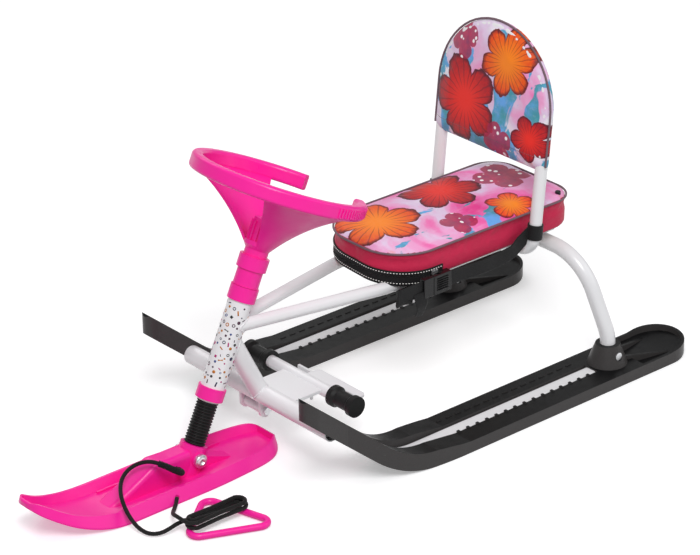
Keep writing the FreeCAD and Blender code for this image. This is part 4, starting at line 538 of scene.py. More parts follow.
seat_print = printed_cloth(
    "seat_print", upright=False, cool_from=0.60, pale=-0.01,
    blooms=[
        ((0.118, 0.018), 0.074, 2.5, 0.4, ORANGE, DEEP_ORANGE),
        ((0.272, 0.044), 0.070, 3.0, 1.2, RED, DEEP_RED),
        ((0.322, -0.068), 0.042, 2.5, 0.6, ORANGE, RED),
    ],
    speckles=[((0.385, 0.020), 0.050), ((0.215, -0.062), 0.032)],
)
thread_white = cloth_material("thread", (0.80, 0.79, 0.77), 0.08, 0.0004, 0.8, 0.1)
for row in frame["record"]["subparts"]:
    node = parts[row["node"]]
    node.data.materials.clear()
    node.data.materials.append(FINISH[row["material_slot"]])


def settle(piece, body, slot, *replaced):
    """Put a piece on its body and hide the nodes that it stands for; slot is not used."""
    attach(piece, body)
    if replaced:
        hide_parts(*replaced)


def add_piece(name, shape, body, slot, *replaced, material=None):
    """New piece of one material, its slot's own if none is named, put on its body."""
    piece = add_object(name, *shape, [material or FINISH[slot]])
    settle(piece, body, slot, *replaced)
    return piece


# Tow rope: from the ridge of the front ski over the hank and back to the ski's lip
ROPE, ROPE_LEAST_STEP = 0.0065, 1e-5
ROPE_FRONT = [
    (-0.317, -0.014, 0.028), (-0.317, -0.028, 0.028), (-0.3225, -0.040, 0.032),
    (-0.332, -0.047, 0.0395), (-0.3435, -0.047, 0.048), (-0.355, -0.037, 0.0565),
    (-0.366, -0.020, 0.060), (-0.380, -0.006, 0.055), (-0.397, -0.002, 0.047),
    (-0.413, -0.010, 0.041), (-0.427, -0.026, 0.037), (-0.438, -0.044, 0.033),
    (-0.445, -0.062, 0.027), (-0.448, -0.079, 0.018), (-0.4465, -0.096, 0.009),
    (-0.4405, -0.112, 0.0045), (-0.429, -0.1245, 0.0065), (-0.4155, -0.1295, 0.0115),
    (-0.402, -0.1293, 0.01455),
]
ROPE_REAR = [
    (-0.39785, -0.13765, 0.02305), (-0.39785, -0.12515, 0.02305), (-0.394, -0.112, 0.019),
    (-0.387, -0.100, 0.013), (-0.378, -0.0895, 0.009), (-0.368, -0.080, 0.0074),
    (-0.3585, -0.071, 0.0075), (-0.350, -0.0615, 0.008),
]
HANK_MIDDLE = (-0.343, -0.146)
HANK_HALF = 0.040
HANK_LOW, HANK_HIGH = 0.01455, 0.02305
HANK_WAIST = 0.0016
HANK_FOLD_STEPS = 4
# Each run of the hank: its distance from the middle, and its height at both ends
HANK_ROWS = [
    (0.0167, HANK_LOW, HANK_LOW), (0.0130, HANK_LOW, HANK_LOW), (0.0093, HANK_LOW, HANK_LOW),
    (0.0040, HANK_LOW, HANK_HIGH), (0.0093, HANK_HIGH, HANK_HIGH), (0.0130, HANK_HIGH, HANK_HIGH),
]
HANK_LAST = 0.0167
BRAID_STRANDS, BRAID_PITCH, BRAID_SIDES = 4, 0.018, 18
WHIP_START, WHIP_END = 0.008, 0.080
WHIP_CORD, WHIP_PITCH = 0.0020, 0.0021


def hank_points():
    """Points of the hank's turns: runs drawn in at the waist, joined by round folds."""
    points = []
    x, y = HANK_MIDDLE
    for number, (level, low, high) in enumerate(HANK_ROWS):
        side = 1 - 2 * (number % 2)
        waist = HANK_WAIST if low == high else 0.0
        for share, drawn in ((-1.0, 0.0), (-0.5, 0.5), (0.0, 1.0), (0.5, 0.5), (1.0, 0.0)):
            height = low + (high - low) * (share + 1) / 2
            points.append((x + side * share * HANK_HALF, y + side * (level - drawn * waist), height))
        last = number == len(HANK_ROWS) - 1
        after = HANK_LAST if last else HANK_ROWS[number + 1][0]
        radius = (level + after) / 2
        centre_y = y + side * (level - radius)
        outer = radius / cos(pi / 2 / HANK_FOLD_STEPS)
        for step in range(HANK_FOLD_STEPS // 2 if last else HANK_FOLD_STEPS):
            angle = pi * (step + 0.5) / HANK_FOLD_STEPS
            fold_x = x + side * (HANK_HALF + outer * sin(angle))
            points.append((fold_x, centre_y + side * outer * cos(angle), high))
    return points


def braided(number, distance):
    """Section of the braided rope: strands that cross both ways."""
    wind = TURN * BRAID_STRANDS * distance / BRAID_PITCH
    ring = []
    for angle in angles(BRAID_SIDES):
        strand = BRAID_STRANDS * angle
        lift = max(cos(strand + wind), cos(strand - wind))
        radius = ROPE / 2 * (0.94 + 0.06 * lift)
        ring.append((radius * cos(angle), radius * sin(angle)))
    return ring


def whipping(line):
    """Path of the cord that is wound tightly round a stretch of the rope."""
    frames = []
    side_way = None
    for before, after, at in zip(line, line[1:], run_lengths(line)):
        along = (after - before).normalized()
        side_way = squared(along.orthogonal() if side_way is None else side_way, along)
        if WHIP_START <= at <= WHIP_END:
            frames.append((before, side_way, along.cross(side_way), at))
    path = []
    steps = 10
    for (place, one, two, at), (next_place, _, _, next_at) in zip(frames, frames[1:]):
        count = max(1, int((next_at - at) / WHIP_PITCH * steps))
        for k in range(count):
            share = k / count
            angle = TURN * (at + (next_at - at) * share - WHIP_START) / WHIP_PITCH
            spoke = one * cos(angle) + two * sin(angle)
            path.append(place.lerp(next_place, share) + spoke * (ROPE + WHIP_CORD) / 2)
    return path


rope_line = nurbs_points(ROPE_FRONT + hank_points() + ROPE_REAR, 10)
rope_line = rope_line[:1] + [b for a, b in zip(rope_line, rope_line[1:]) if (b - a).length > ROPE_LEAST_STEP]
rope = add_piece(
    "tow_rope", sweep(rope_line, braided), "front_ski", "rope", "rope_front", "rope_hank", "rope_rear",
)
whip_cord = sweep(whipping(rope_line), circle(WHIP_CORD / 2, 6))
whip = add_piece("rope_whipping", whip_cord, "front_ski", "rope")
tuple(ROPE_FRONT[0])


# Bellows and spring of the column, built at one length; on the sled they shorten as the front ski rises
BELLOWS_LOW, BELLOWS_HIGH = 0.05045, 0.12025
BELLOWS_RADIUS, BELLOWS_BORE = 0.01675, 0.014
BELLOWS_DEPTH = 0.0027
BELLOWS_RIBS = 15
SPRING_LOW, SPRING_HIGH = 0.05195, 0.11875
SPRING_RADIUS, SPRING_WIRE = 0.012, 0.0022
SPRING_TURNS, SPRING_STEPS = 8, 320


def turned(profile, sides=64):
    """Closed profile of (radius, height) turned round the steering axis."""
    verts = [on_column(r, angle, h) for angle in angles(sides) for r, h in profile]
    return verts, [(a, d, c, b) for a, b, c, d in tube_faces(sides, len(profile), True)]


def bellows_profile():
    """Round ribs outside, a plain bore inside."""
    steps = 8
    profile = []
    for number in range(BELLOWS_RIBS * steps + 1):
        lift = (0.5 - 0.5 * cos(TURN * number / steps)) ** 0.7
        height = BELLOWS_LOW + (BELLOWS_HIGH - BELLOWS_LOW) * number / (BELLOWS_RIBS * steps)
        profile.append((BELLOWS_RADIUS - BELLOWS_DEPTH * (1 - lift), height))
    return profile + [(BELLOWS_BORE, BELLOWS_HIGH), (BELLOWS_BORE, BELLOWS_LOW)]


def spring_line():
    """Coil round the steering axis."""
    rise, steps = SPRING_HIGH - SPRING_LOW, SPRING_STEPS
    return [
        on_column(SPRING_RADIUS, TURN * SPRING_TURNS * k / steps, SPRING_LOW + rise * k / steps)
        for k in range(steps + 1)
    ]


bellows = add_piece("bellows_skin", turned(bellows_profile()), "steering", "black_rubber", "bellows")
coil = sweep(spring_line(), circle(SPRING_WIRE / 2, 10))
spring = add_piece("spring_coil", coil, "steering", "zinc_steel", "suspension_spring")
for piece in (bellows, spring):
    steering_point(BELLOWS_HIGH)
    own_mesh(piece)


# Padded pieces
VOXEL = 0.0045
CLOTH_FRAMES = 20
CLOTH = {
    "quality": 6, "mass": 0.2, "tension_stiffness": 12, "compression_stiffness": 12,
    "shear_stiffness": 4, "bending_stiffness": 0.6, "use_pressure": True,
}


def remeshed(name, verts, faces):
    """Even mesh of a closed form."""
    obj = add_object(name, verts, faces, [], False)
    remesh = obj.modifiers.new("even", "REMESH")
    remesh.mode = "VOXEL"
    remesh.voxel_size = VOXEL
    apply_modifiers(obj)
    return obj


def inflate(obj, held, pressure, cap, slack=0.0):
    """Let a form swell as cloth, held where it is sewn or rests, by no more than a cap."""
    before = [v.co.copy() for v in obj.data.vertices]
    group = obj.vertex_groups.new(name="held")
    group.add([i for i, co in enumerate(before) if held(co)], 1.0, "REPLACE")
    cloth = obj.modifiers.new("skin", "CLOTH")
    settings = cloth.settings
    for key, value in CLOTH.items():
        setattr(settings, key, value)
    settings.uniform_pressure_force = pressure
    settings.shrink_min = -slack
    settings.shrink_max = -slack
    settings.vertex_group_mass = "held"
    settings.effector_weights.gravity = 0.0
    cloth.collision_settings.use_collision = False
    cloth.collision_settings.use_self_collision = False
    cloth.point_cache.frame_start = 1
    cloth.point_cache.frame_end = CLOTH_FRAMES
    for number in range(1, CLOTH_FRAMES + 1):
        scene.frame_set(number)
    swollen = evaluated_mesh(obj)
    after = [v.co.copy() for v in swollen.vertices]
    bpy.data.meshes.remove(swollen)
    obj.modifiers.clear()
    obj.vertex_groups.clear()
    for vertex, old, new in zip(obj.data.vertices, before, after):
        move = new - old
        if move.length > cap:
            move *= cap / move.length
        vertex.co = old + move
    scene.frame_set(1)


def smooth_finish(obj):
    """One subdivision over smooth faces."""
    obj.data.shade_smooth()
    subdivision = obj.modifiers.new("smooth", "SUBSURF")
    subdivision.levels = 1
    subdivision.render_levels = 1


def dress(obj, cloth, other, has_other):
    """Give a cover two cloths, the other one on the faces that has_other picks."""
    obj.data.materials.append(cloth)
    obj.data.materials.append(other)
    for polygon in obj.data.polygons:
        polygon.material_index = int(has_other(polygon))


# Seat cushion: its plan, its heights, and the levels (inset, height) of its form
SEAT_FRONT, SEAT_REAR, SEAT_HALF = 0.055, 0.441, 0.097
SEAT_FRONT_ROUND, SEAT_REAR_ROUND, SEAT_CORNER_STEPS = 0.076, 0.046, 18
SEAT_EDGE = 0.279
SEAT_LEVELS = [
    (0.0035, 0.2306), (0.0008, 0.2322), (0.0004, 0.2530), (0.0022, 0.2660), (0.0002, SEAT_EDGE),
    (0.0100, 0.2838), (0.0240, 0.2860), (0.0420, 0.2870),
]
SEAT_SEAM = 0.0028
SEAT_SPINE = (0.14, 0.38)
FOLD_LOW, FOLD_HIGH = 0.254, 0.2755
FOLD_DEPTH, FOLD_INWARD = 0.0016, 0.35
FOLDS_ACROSS, FOLDS_UP = 26, 60
PRINT_LOW, PRINT_SLOPE = 0.274, 0.45
RECESS_INSET, RECESS_LEVELS = 0.0086, (0.2280, 0.2364)
PIPING = 0.0018
SEAT_WELT_OUT, WELT_STEP = 0.0012, 0.0015
WELT_PULL, WELT_PITCH = 0.05, 0.0045


def seat_plan(inset):
    """Plan of the seat from its rear near corner round: (x, y) points, drawn in by an inset."""
    front, rear, side = SEAT_FRONT + inset, SEAT_REAR - inset, SEAT_HALF - inset
    fore, aft = SEAT_FRONT_ROUND - inset, SEAT_REAR_ROUND - inset
    corners = [
        (rear - aft, aft - side, aft, -90), (rear - aft, side - aft, aft, 0),
        (front + fore, side - fore, fore, 90), (front + fore, fore - side, fore, 180),
    ]
    return [point for corner in corners for point in arc(*corner, 90, SEAT_CORNER_STEPS)]


def seat_rings(levels):
    """Rings of the seat's plan at levels (inset, height)."""
    return [[(x, y, z) for x, y in seat_plan(inset)] for inset, z in levels]


def make_seat():
    """Boxed seat cushion: hollow over its board, drawn-in sides with soft folds, crowned top."""
    obj = remeshed("seat_cover", *loft(seat_rings(SEAT_LEVELS)))
    inflate(obj, lambda co: co.z < FOLD_LOW or abs(co.z - SEAT_EDGE) < SEAT_SEAM,
            pressure=4.0, cap=0.0022, slack=0.012)
    for vertex in obj.data.vertices:
        co = vertex.co
        if FOLD_LOW < co.z < FOLD_HIGH:
            fade = sin(pi * (co.z - FOLD_LOW) / (FOLD_HIGH - FOLD_LOW))
            fold = noise.noise(Vector((co.x * FOLDS_ACROSS, co.y * FOLDS_ACROSS, co.z * FOLDS_UP)))
            middle = Vector((min(max(co.x, SEAT_SPINE[0]), SEAT_SPINE[1]), 0.0, co.z))
            outward = (co - middle).normalized()
            vertex.co = co + outward * (fold - FOLD_INWARD) * FOLD_DEPTH * fade
    dress(obj, FINISH["seat_fabric"], seat_print,
          lambda face: face.normal.z > PRINT_SLOPE and face.center.z > PRINT_LOW)
    recess = loft(seat_rings([(RECESS_INSET, z) for z in RECESS_LEVELS]))
    cutter = add_object("seat_recess", *recess, [])
    cut = obj.modifiers.new("recess", "BOOLEAN")
    cut.operation = "DIFFERENCE"
    cut.object = cutter
    cut.solver = "EXACT"
    smooth_finish(obj)
    apply_modifiers(obj)
    bpy.data.objects.remove(cutter)
    return obj


def welt_section(number, distance):
    """Round welt, a little uneven where the thread draws it in."""
    pull = 1 - WELT_PULL * (0.5 + 0.5 * cos(TURN * distance / WELT_PITCH))
    return circle(PIPING * pull, 10)


seat = make_seat()
settle(seat, "frame", "seat_fabric", "seat_cushion")
seat_welt_path = evenly([(x, y, SEAT_EDGE) for x, y in seat_plan(-SEAT_WELT_OUT)], WELT_STEP, True)
seat_welt = sweep(seat_welt_path, welt_section, UP, True)
add_piece("seat_welt", seat_welt, "frame", "piping", "seat_piping")


# Zip band round the front of the seat, lower at its near end, with two rows of white stitches
BAND_LOW, BAND_HIGH = 0.2321, 0.2521
BAND_FAR, BAND_NEAR = (0.0015, 0.0060), (-0.0075, -0.0030)
BAND_END, BAND_STEP = 0.150, 0.003
ZIP_LEVEL = 0.2421
# Section of the band (height, how far out): its rolled edge, from the edge inward, and its groove
BAND_EDGE = [(0.0, 0.0001), (0.0, 0.0012), (0.0012, 0.0017), (0.0035, 0.00135)]
BAND_GROOVE = [(-0.0032, 0.00145), (-0.0022, 0.0010), (0.0022, 0.0010), (0.0032, 0.00145)]
BAND_STITCH, BAND_THREAD, STITCH_STEP = 0.0026, 0.0008, 0.0024
STITCH_PROUD, TOOTH_PROUD = 0.0021, 0.0011
BAND_STITCH_ROWS = [(0, 0.0048), (1, -0.0030)]
TOOTH_LOWS, TOOTH_HEIGHT = (-0.0003, -0.0011), 0.0014
TOOTH_RADIUS, TOOTH_PITCH = 0.0005, 0.0013


def band_line(offset, height):
    """Line round the front of the seat, from the far side to the near side."""
    plan = seat_plan(-offset)
    front = [p for p in plan if p[0] < BAND_END]
    start = (BAND_END, max(p[1] for p in plan))
    end = (BAND_END, min(p[1] for p in plan))
    return [Vector((x, y, height)) for x, y in [start] + front + [end]]


def band_edges(place):
    """Heights of the band's lower and upper edge at a place."""
    share = min(max(0.5 - place.y / (2 * SEAT_HALF), 0.0), 1.0)
    rows = zip((BAND_LOW, BAND_HIGH), BAND_FAR, BAND_NEAR)
    return tuple(base + far + (near - far) * share for base, far, near in rows)


def make_band():
    """Band as a strip with rolled edges and a groove for the zip."""
    line = evenly(band_line(0.0, ZIP_LEVEL), BAND_STEP)

    def section(number, distance):
        low, high = (edge - ZIP_LEVEL for edge in band_edges(line[number]))
        lower = [(low + a, b) for a, b in BAND_EDGE]
        upper = [(high - a, b) for a, b in reversed(BAND_EDGE)]
        return lower + BAND_GROOVE + upper
    return sweep(line, section, UP)


def stitch_row(line, length, radius):
    """Row of short stitches, one at every second point: small spindles that dip into the cloth."""
    fat = (0.35, 0.85, 1.0, 0.85, 0.35)
    shapes = []
    for middle, after in zip(line[::2], line[1::2]):
        way = (after - middle).normalized()
        path = [middle + way * (length * s / 2) for s in (-1.0, -0.6, 0.0, 0.6, 1.0)]
        shapes.append(sweep(path, lambda n, d: circle(radius * fat[n], 6)))
    return merge(shapes)


def band_stitches(which, inward):
    """Row of stitches along the band's lower or upper edge, a little proud of it."""
    places = evenly(band_line(STITCH_PROUD, 0.0), STITCH_STEP)
    line = [Vector((p.x, p.y, band_edges(p)[which] + inward)) for p in places]
    return stitch_row(line, BAND_STITCH, BAND_THREAD)


def zip_teeth():
    """Teeth along the zip, alternately a little higher and lower."""
    shapes = []
    for number, place in enumerate(evenly(band_line(TOOTH_PROUD, ZIP_LEVEL), TOOTH_PITCH)):
        low = TOOTH_LOWS[number % 2]
        ends = [place + Vector((0, 0, rise)) for rise in (low, low + TOOTH_HEIGHT)]
        shapes.append(sweep(ends, circle(TOOTH_RADIUS, 6)))
    return merge(shapes)


add_piece("zip_band", make_band(), "frame", "zip_tape", "seat_zip_band")
stitches = merge([band_stitches(*row) for row in BAND_STITCH_ROWS])
add_piece("zip_band_stitches", stitches, "frame", "zip_tape", material=thread_white)
add_piece("zip_teeth", zip_teeth(), "frame", "zip_tape", material=FINISH["buckle_plastic"])


# Backrest cover: where the arch of the leaning plane is centred, its directions, the pad's outline,
# and the levels (inset, depth) of its form from the rear to the front
BACK_X, BACK_ARCH, BACK_LEAN = 0.35012, 0.440, radians(6.0)
BACK_UP = Vector((sin(BACK_LEAN), 0, cos(BACK_LEAN)))
BACK_AFT = Vector((cos(BACK_LEAN), 0, -sin(BACK_LEAN)))
PAD_HALF, PAD_BOTTOM = 0.127, 0.352
PAD_CORNER, PAD_CORNER_STEPS, PAD_ARCH_STEPS = 0.012, 8, 28
PAD_SEAM, REAR_SLOPE = 0.0035, 0.6
BACK_LEVELS = [
    (0.0220, 0.0100), (0.0060, 0.0096), (0.0016, 0.0062), (0.0004, 0.0), (0.0024, -0.0058),
    (0.0080, -0.0118), (0.0200, -0.0140), (0.0340, -0.0150),
]
BACK_WELT_OUT, BACK_WELT_AHEAD = 0.0004, 0.0042
HEM_RISE, HEM_STITCH, HEM_THREAD = 0.026, 0.0032, 0.00045
HEM_PLACES, HEM_STEP, HEM_AHEAD = 120, 0.002, 0.05


def lean_back(point):
    """Point of the upright pad (depth, y, z) moved into the leaning plane of the backrest."""
    depth, y, z = point
    rise = z - BACK_ARCH
    return Vector((
        BACK_X + depth * cos(BACK_LEAN) + rise * sin(BACK_LEAN), y,
        BACK_ARCH - depth * sin(BACK_LEAN) + rise * cos(BACK_LEAN),
    ))


def pad_plan(inset):
    """Arched outline of the backrest (y, z), from one lower corner over the arch to the other."""
    side, low = PAD_HALF - inset, PAD_BOTTOM + inset + PAD_CORNER
    one = arc(PAD_CORNER - side, low, PAD_CORNER, 270, -90, PAD_CORNER_STEPS)
    other = arc(side - PAD_CORNER, low, PAD_CORNER, 0, -90, PAD_CORNER_STEPS)
    return one + arc(0, BACK_ARCH, side, 180, -180, PAD_ARCH_STEPS) + other


def pad_held(place):
    """Whether a place is at the cover's seam."""
    rise = (place - Vector((BACK_X, 0, BACK_ARCH))).dot(BACK_UP)
    if rise < 0:
        inset = min(PAD_HALF - abs(place.y), rise + BACK_ARCH - PAD_BOTTOM)
    else:
        inset = PAD_HALF - hypot(place.y, rise)
    return inset < PAD_SEAM


def make_back():
    """Padded cover: crowned in front, softer behind."""
    rings = [[lean_back((depth, y, z)) for y, z in pad_plan(inset)] for inset, depth in BACK_LEVELS]
    obj = remeshed("back_cover", *loft(rings))
    inflate(obj, pad_held, pressure=3.0, cap=0.0030)
    dress(obj, FINISH["back_fabric"], FINISH["seat_fabric"],
          lambda face: face.normal.dot(BACK_AFT) > REAR_SLOPE)
    smooth_finish(obj)
    return obj


def back_line(inset, depth):
    """Line up one side of the backrest, over its arch and down the other side."""
    outline = pad_plan(inset)[PAD_CORNER_STEPS:-PAD_CORNER_STEPS]
    return [lean_back((depth, y, z)) for y, z in outline]


def make_hem():
    """Row of dark stitches over the lower hem of the backrest, cast onto the cover from in front."""
    cover = BVHTree.FromObject(back, bpy.context.evaluated_depsgraph_get())
    line = []
    for number in range(HEM_PLACES):
        y = HEM_STEP * (number - (HEM_PLACES - 1) / 2)
        ahead = lean_back((-HEM_AHEAD, y, PAD_BOTTOM + HEM_RISE))
        line.append(cover.ray_cast(ahead, BACK_AFT)[0])
    return stitch_row(line, HEM_STITCH, HEM_THREAD)


back = make_back()
settle(back, "frame", "back_fabric", "back_pad")
back_welt_path = evenly(back_line(-BACK_WELT_OUT, -BACK_WELT_AHEAD), WELT_STEP)
add_piece("back_welt", sweep(back_welt_path, welt_section), "frame", "piping", "back_piping")
add_piece("back_hem_stitches", make_hem(), "frame", "piping")


# Lap belt: ribbed webbing, looped round the backrest's legs
WEB, WEB_THICK, WEB_RIBS = 0.025, 0.0019, 9
LEG_X, LEG_Y, LEG_Z = 0.33057, 0.115, 0.254
LOOP_RADIUS, LOOP_STEPS = 0.0118, 40
BELT_Y = 0.108
BELT_LEVEL, BELT_LEAST_RUN = 0.226, 0.012
NEAR_FRONT, FAR_FRONT = 0.147, 0.268
# Run along the seat's side: place (x, how far out, height) and the direction of the tape's width
SIDE_RUN = [
    ((LEG_X - 0.004, 0.002, 0.2528), (-0.62, 0.0, 0.78)),
    ((0.316, 0.0, 0.2455), (-0.60, 0.0, 0.80)),
    ((0.303, -0.0006, 0.2370), (-0.50, 0.05, 0.86)),
    ((0.288, 0.0014, 0.2282), (-0.2, -0.06, 0.97)),
    ((0.262, -0.0004, 0.2248), (0.0, 0.08, 1.0)),
    ((0.225, 0.0020, 0.2238), (0.0, -0.06, 1.0)),
    ((0.190, -0.0004, 0.2252), (0.0, 0.0, 1.0)),
]
# Run from the far side slantwise under the rails to the near side; its middle part lies flat
UNDER_REAR, UNDER_FRONT = 0.2785, 0.0605
UNDER_RUN = [
    (UNDER_REAR, BELT_Y, 0.2300), (UNDER_REAR, BELT_Y + 0.0005, 0.2190), (0.2780, BELT_Y - 0.001, 0.2080),
    (0.2620, 0.092, 0.2076), (0.1700, 0.0, 0.2070), (0.0770, -0.092, 0.2076),
    (UNDER_FRONT, -BELT_Y + 0.001, 0.2080), (UNDER_FRONT, -BELT_Y - 0.0005, 0.2190),
    (UNDER_FRONT, -BELT_Y, 0.2360),
]
TAB_RUN = [(0.052, -BELT_Y, 0.2255), (0.078, -BELT_Y - 0.0002, 0.226), (0.105, -BELT_Y, 0.226)]
LOOSE_RUN = [
    ((0.092, -BELT_Y - 0.0025, 0.2210), (0.94, -0.1, 0.3)),
    ((0.093, -BELT_Y - 0.0052, 0.2080), (0.92, 0.1, 0.36)),
    ((0.091, -BELT_Y - 0.0068, 0.1960), (0.9, 0.2, 0.42)),
    ((0.086, -BELT_Y - 0.0050, 0.1850), (0.88, 0.1, 0.46)),
]


def tape_section():
    """Ribbed tape with rounded edges."""
    steps = WEB_RIBS * 4
    upper = []
    for k in range(steps + 1):
        share = k / steps
        edge = min(1.0, min(share, 1 - share) * 14 + 0.35)
        lift = WEB_THICK / 2 * edge * (0.86 + 0.14 * cos(TURN * WEB_RIBS * share))
        upper.append((WEB * (share - 0.5), lift))
    return upper + [(a, -b) for a, b in reversed(upper)]


def tape(points, guides):
    """Tape through places, each with the direction of its width, turning evenly between them."""
    return sweep(nurbs_points(points, 12), tape_section(), nurbs_points(guides, 12))


def belt_loop(side):
    """Loop of tape round a leg of the backrest."""
    middle = Vector((LEG_X, side * LEG_Y, LEG_Z))
    spokes = [BACK_AFT * cos(angle) + ACROSS * sin(angle) for angle in angles(LOOP_STEPS)]
    path = [middle + spoke * LOOP_RADIUS for spoke in spokes]
    return sweep(path, tape_section(), BACK_UP, True)


def side_tape(side, front_x):
    """Tape from the leg's loop down and forward along the seat's side, a little slack."""
    y = side * BELT_Y
    run = [row for row in SIDE_RUN if row[0][0] > front_x + BELT_LEAST_RUN]
    points = [(x, y + side * out, z) for (x, out, z), _ in run] + [(front_x, y, BELT_LEVEL)]
    return tape(points, [guide for _, guide in run] + [UP])


def under_tape():
    """Tape from the far side down, slantwise under the rails and up on the near side."""
    slant = (Vector((UNDER_FRONT, -BELT_Y, 0)) - Vector((UNDER_REAR, BELT_Y, 0))).normalized()
    flat = Vector((-slant.y, slant.x, 0))
    return tape(UNDER_RUN, [ALONG] * 3 + [flat] * 3 + [ALONG] * 3)


near_tapes = [belt_loop(-1), side_tape(-1, NEAR_FRONT)]
add_piece("belt_near_tape", merge(near_tapes), "frame", "webbing", "belt_near")
far_tapes = [
    belt_loop(1), side_tape(1, FAR_FRONT), under_tape(), tape(TAB_RUN, [UP] * 3), tape(*zip(*LOOSE_RUN)),
]
add_piece("belt_far_tape", merge(far_tapes), "frame", "webbing", "belt_far")


# Buckle with rounded edges, and grip bars on its outer face
BUCKLE_FACE = -0.1150
BUCKLE_ROUNDS = [("buckle_socket", 0.0011), ("buckle_tab", 0.0009)]
SAME_PLACE, FLAT_ANGLE, EDGE_ANGLE, SHARP_ANGLE = 1e-6, radians(1), radians(35), radians(40)
GRIP_BARS, GRIP_LOW, GRIP_PITCH, GRIP_RADIUS = 6, 0.2165, 0.0038, 0.0011
# Places along a bar and the share of its radius there
GRIP_RUN = [(0.1245, 0.3), (0.1252, 1.0), (0.1468, 1.0), (0.1475, 0.3)]


def eased(node_name, width):
    """Copy of a moulded piece with its edges rounded."""
    mesh = parts[node_name].data.copy()
    shape = bmesh.new()
    shape.from_mesh(mesh)
    bmesh.ops.remove_doubles(shape, verts=shape.verts, dist=SAME_PLACE)
    bmesh.ops.dissolve_limit(shape, angle_limit=FLAT_ANGLE, verts=shape.verts, edges=shape.edges)
    shape.to_mesh(mesh)
    shape.free()
    obj = linked(node_name + "_body", mesh)
    bevel = obj.modifiers.new("round", "BEVEL")
    bevel.width = width
    bevel.segments = 3
    bevel.limit_method = "ANGLE"
    bevel.angle_limit = EDGE_ANGLE
    mesh.shade_smooth()
    mesh.set_sharp_from_angle(angle=SHARP_ANGLE)
    return obj


def grip_bar(height):
    """Bar with rounded ends along the buckle."""
    path = [Vector((x, BUCKLE_FACE, height)) for x, _ in GRIP_RUN]
    ring = circle(GRIP_RADIUS, 10)
    return sweep(path, lambda n, d: [(a * GRIP_RUN[n][1], b * GRIP_RUN[n][1]) for a, b in ring])


for node_name, width in BUCKLE_ROUNDS:
    settle(eased(node_name, width), "frame", "buckle_plastic", node_name)
bars = merge([grip_bar(GRIP_LOW + GRIP_PITCH * level) for level in range(GRIP_BARS)])
add_piece("buckle_grip_bars", bars, "frame", "buckle_plastic")


# Domed head of the front ski's bolt: rings (radius, rise), the two last ones of a six-sided recess
BOLT_HEIGHT, BOLT_FACE = 0.031, -0.0274
BOLT_DOME = [(0.0108, 0.0), (0.0104, 0.0008), (0.0088, 0.0018), (0.0066, 0.0025), (0.0050, 0.0027)]
BOLT_RECESS = [(0.0046, 0.0025), (0.0044, 0.0004)]
BOLT_STEPS = 48


def bolt_dome():
    """Dome on the bolt's head with its recess."""
    middle = steering_point(BOLT_HEIGHT)
    half_side = TURN / 12
    rings = []
    for radius, rise in BOLT_DOME + BOLT_RECESS:
        ring = []
        for angle in angles(BOLT_STEPS):
            reach = radius
            if (radius, rise) in BOLT_RECESS:
                reach *= cos(half_side) / cos((angle + half_side) % (TURN / 6) - half_side)
            x, z = middle.x + reach * cos(angle), middle.z + reach * sin(angle)
            ring.append((x, BOLT_FACE - rise, z))
        rings.append(ring)
    return loft(rings)


add_piece("ski_bolt_dome", bolt_dome(), "front_ski", "zinc_steel")


# Welds of the frame: places on the axes of the tubes, and the tubes' radii
HEAD_RADIUS, FRAME_RADIUS, RAIL_RADIUS = 0.019, 0.015, 0.010
CROSSBAR = Vector((-0.138, 0, 0.087))
HEAD_JOIN_Z, RAIL_Z = 0.202, 0.220
RAIL_HEAD_Y, RAIL_BEND_X, RAIL_Y = 0.009, 0.068, 0.060
BACK_JOIN_X, BACK_JOIN_Y, BACK_JOIN_Z = 0.32668, 0.090, 0.217
BEAD_RADIUS, BEAD_PITCH, BEAD_STEP = 0.0019, 0.0034, 0.0011
SADDLE_STEPS = 48


def saddle(start, way, radius, other_start, other_way, other_radius, near):
    """Line where a round tube meets the side of another, on the side nearer to a point."""
    way = way.normalized()
    other_way = other_way.normalized()
    one = way.orthogonal().normalized()
    two = way.cross(one)
    loop = []
    for angle in angles(SADDLE_STEPS):
        place = start + (one * cos(angle) + two * sin(angle)) * radius
        gap = place - other_start
        flat_gap = gap - other_way * gap.dot(other_way)
        flat_way = way - other_way * way.dot(other_way)
        a = flat_way.dot(flat_way)
        b = 2 * flat_gap.dot(flat_way)
        c = flat_gap.dot(flat_gap) - other_radius ** 2
        root = sqrt(max(b * b - 4 * a * c, 0.0))
        hits = [place + way * ((-b + s * root) / (2 * a)) for s in (-1, 1)]
        loop.append(min(hits, key=lambda p: (p - near).length))
    return loop


def bead_section(number, distance):
    """Weld bead with small overlapping ripples."""
    return circle(BEAD_RADIUS * (0.86 + 0.14 * cos(TURN * distance / BEAD_PITCH)), 8)


def weld_lines():
    """Lines of the welds at head tube, crossbar and backrest."""
    head = (STEER_FOOT, STEER_WAY, HEAD_RADIUS)
    head_join = Vector((STEER_X + HEAD_JOIN_Z * tan(RAKE), 0, HEAD_JOIN_Z))
    rail_x = STEER_X + RAIL_Z * tan(RAKE)
    down_tube = (CROSSBAR, head_join - CROSSBAR, FRAME_RADIUS)
    yield saddle(*down_tube, *head, CROSSBAR)
    yield saddle(*down_tube, CROSSBAR, ACROSS, FRAME_RADIUS, head_join)
    for side in (-1, 1):
        foot = Vector((rail_x, side * RAIL_HEAD_Y, RAIL_Z))
        way = Vector((RAIL_BEND_X - rail_x, side * (RAIL_Y - RAIL_HEAD_Y), 0))
        yield saddle(foot, way, RAIL_RADIUS, *head, foot + way)
        join = Vector((BACK_JOIN_X, side * BACK_JOIN_Y, BACK_JOIN_Z))
        rail = Vector((RAIL_BEND_X, side * RAIL_Y, RAIL_Z))
        yield saddle(join, ACROSS, RAIL_RADIUS, rail, ALONG, RAIL_RADIUS, join)


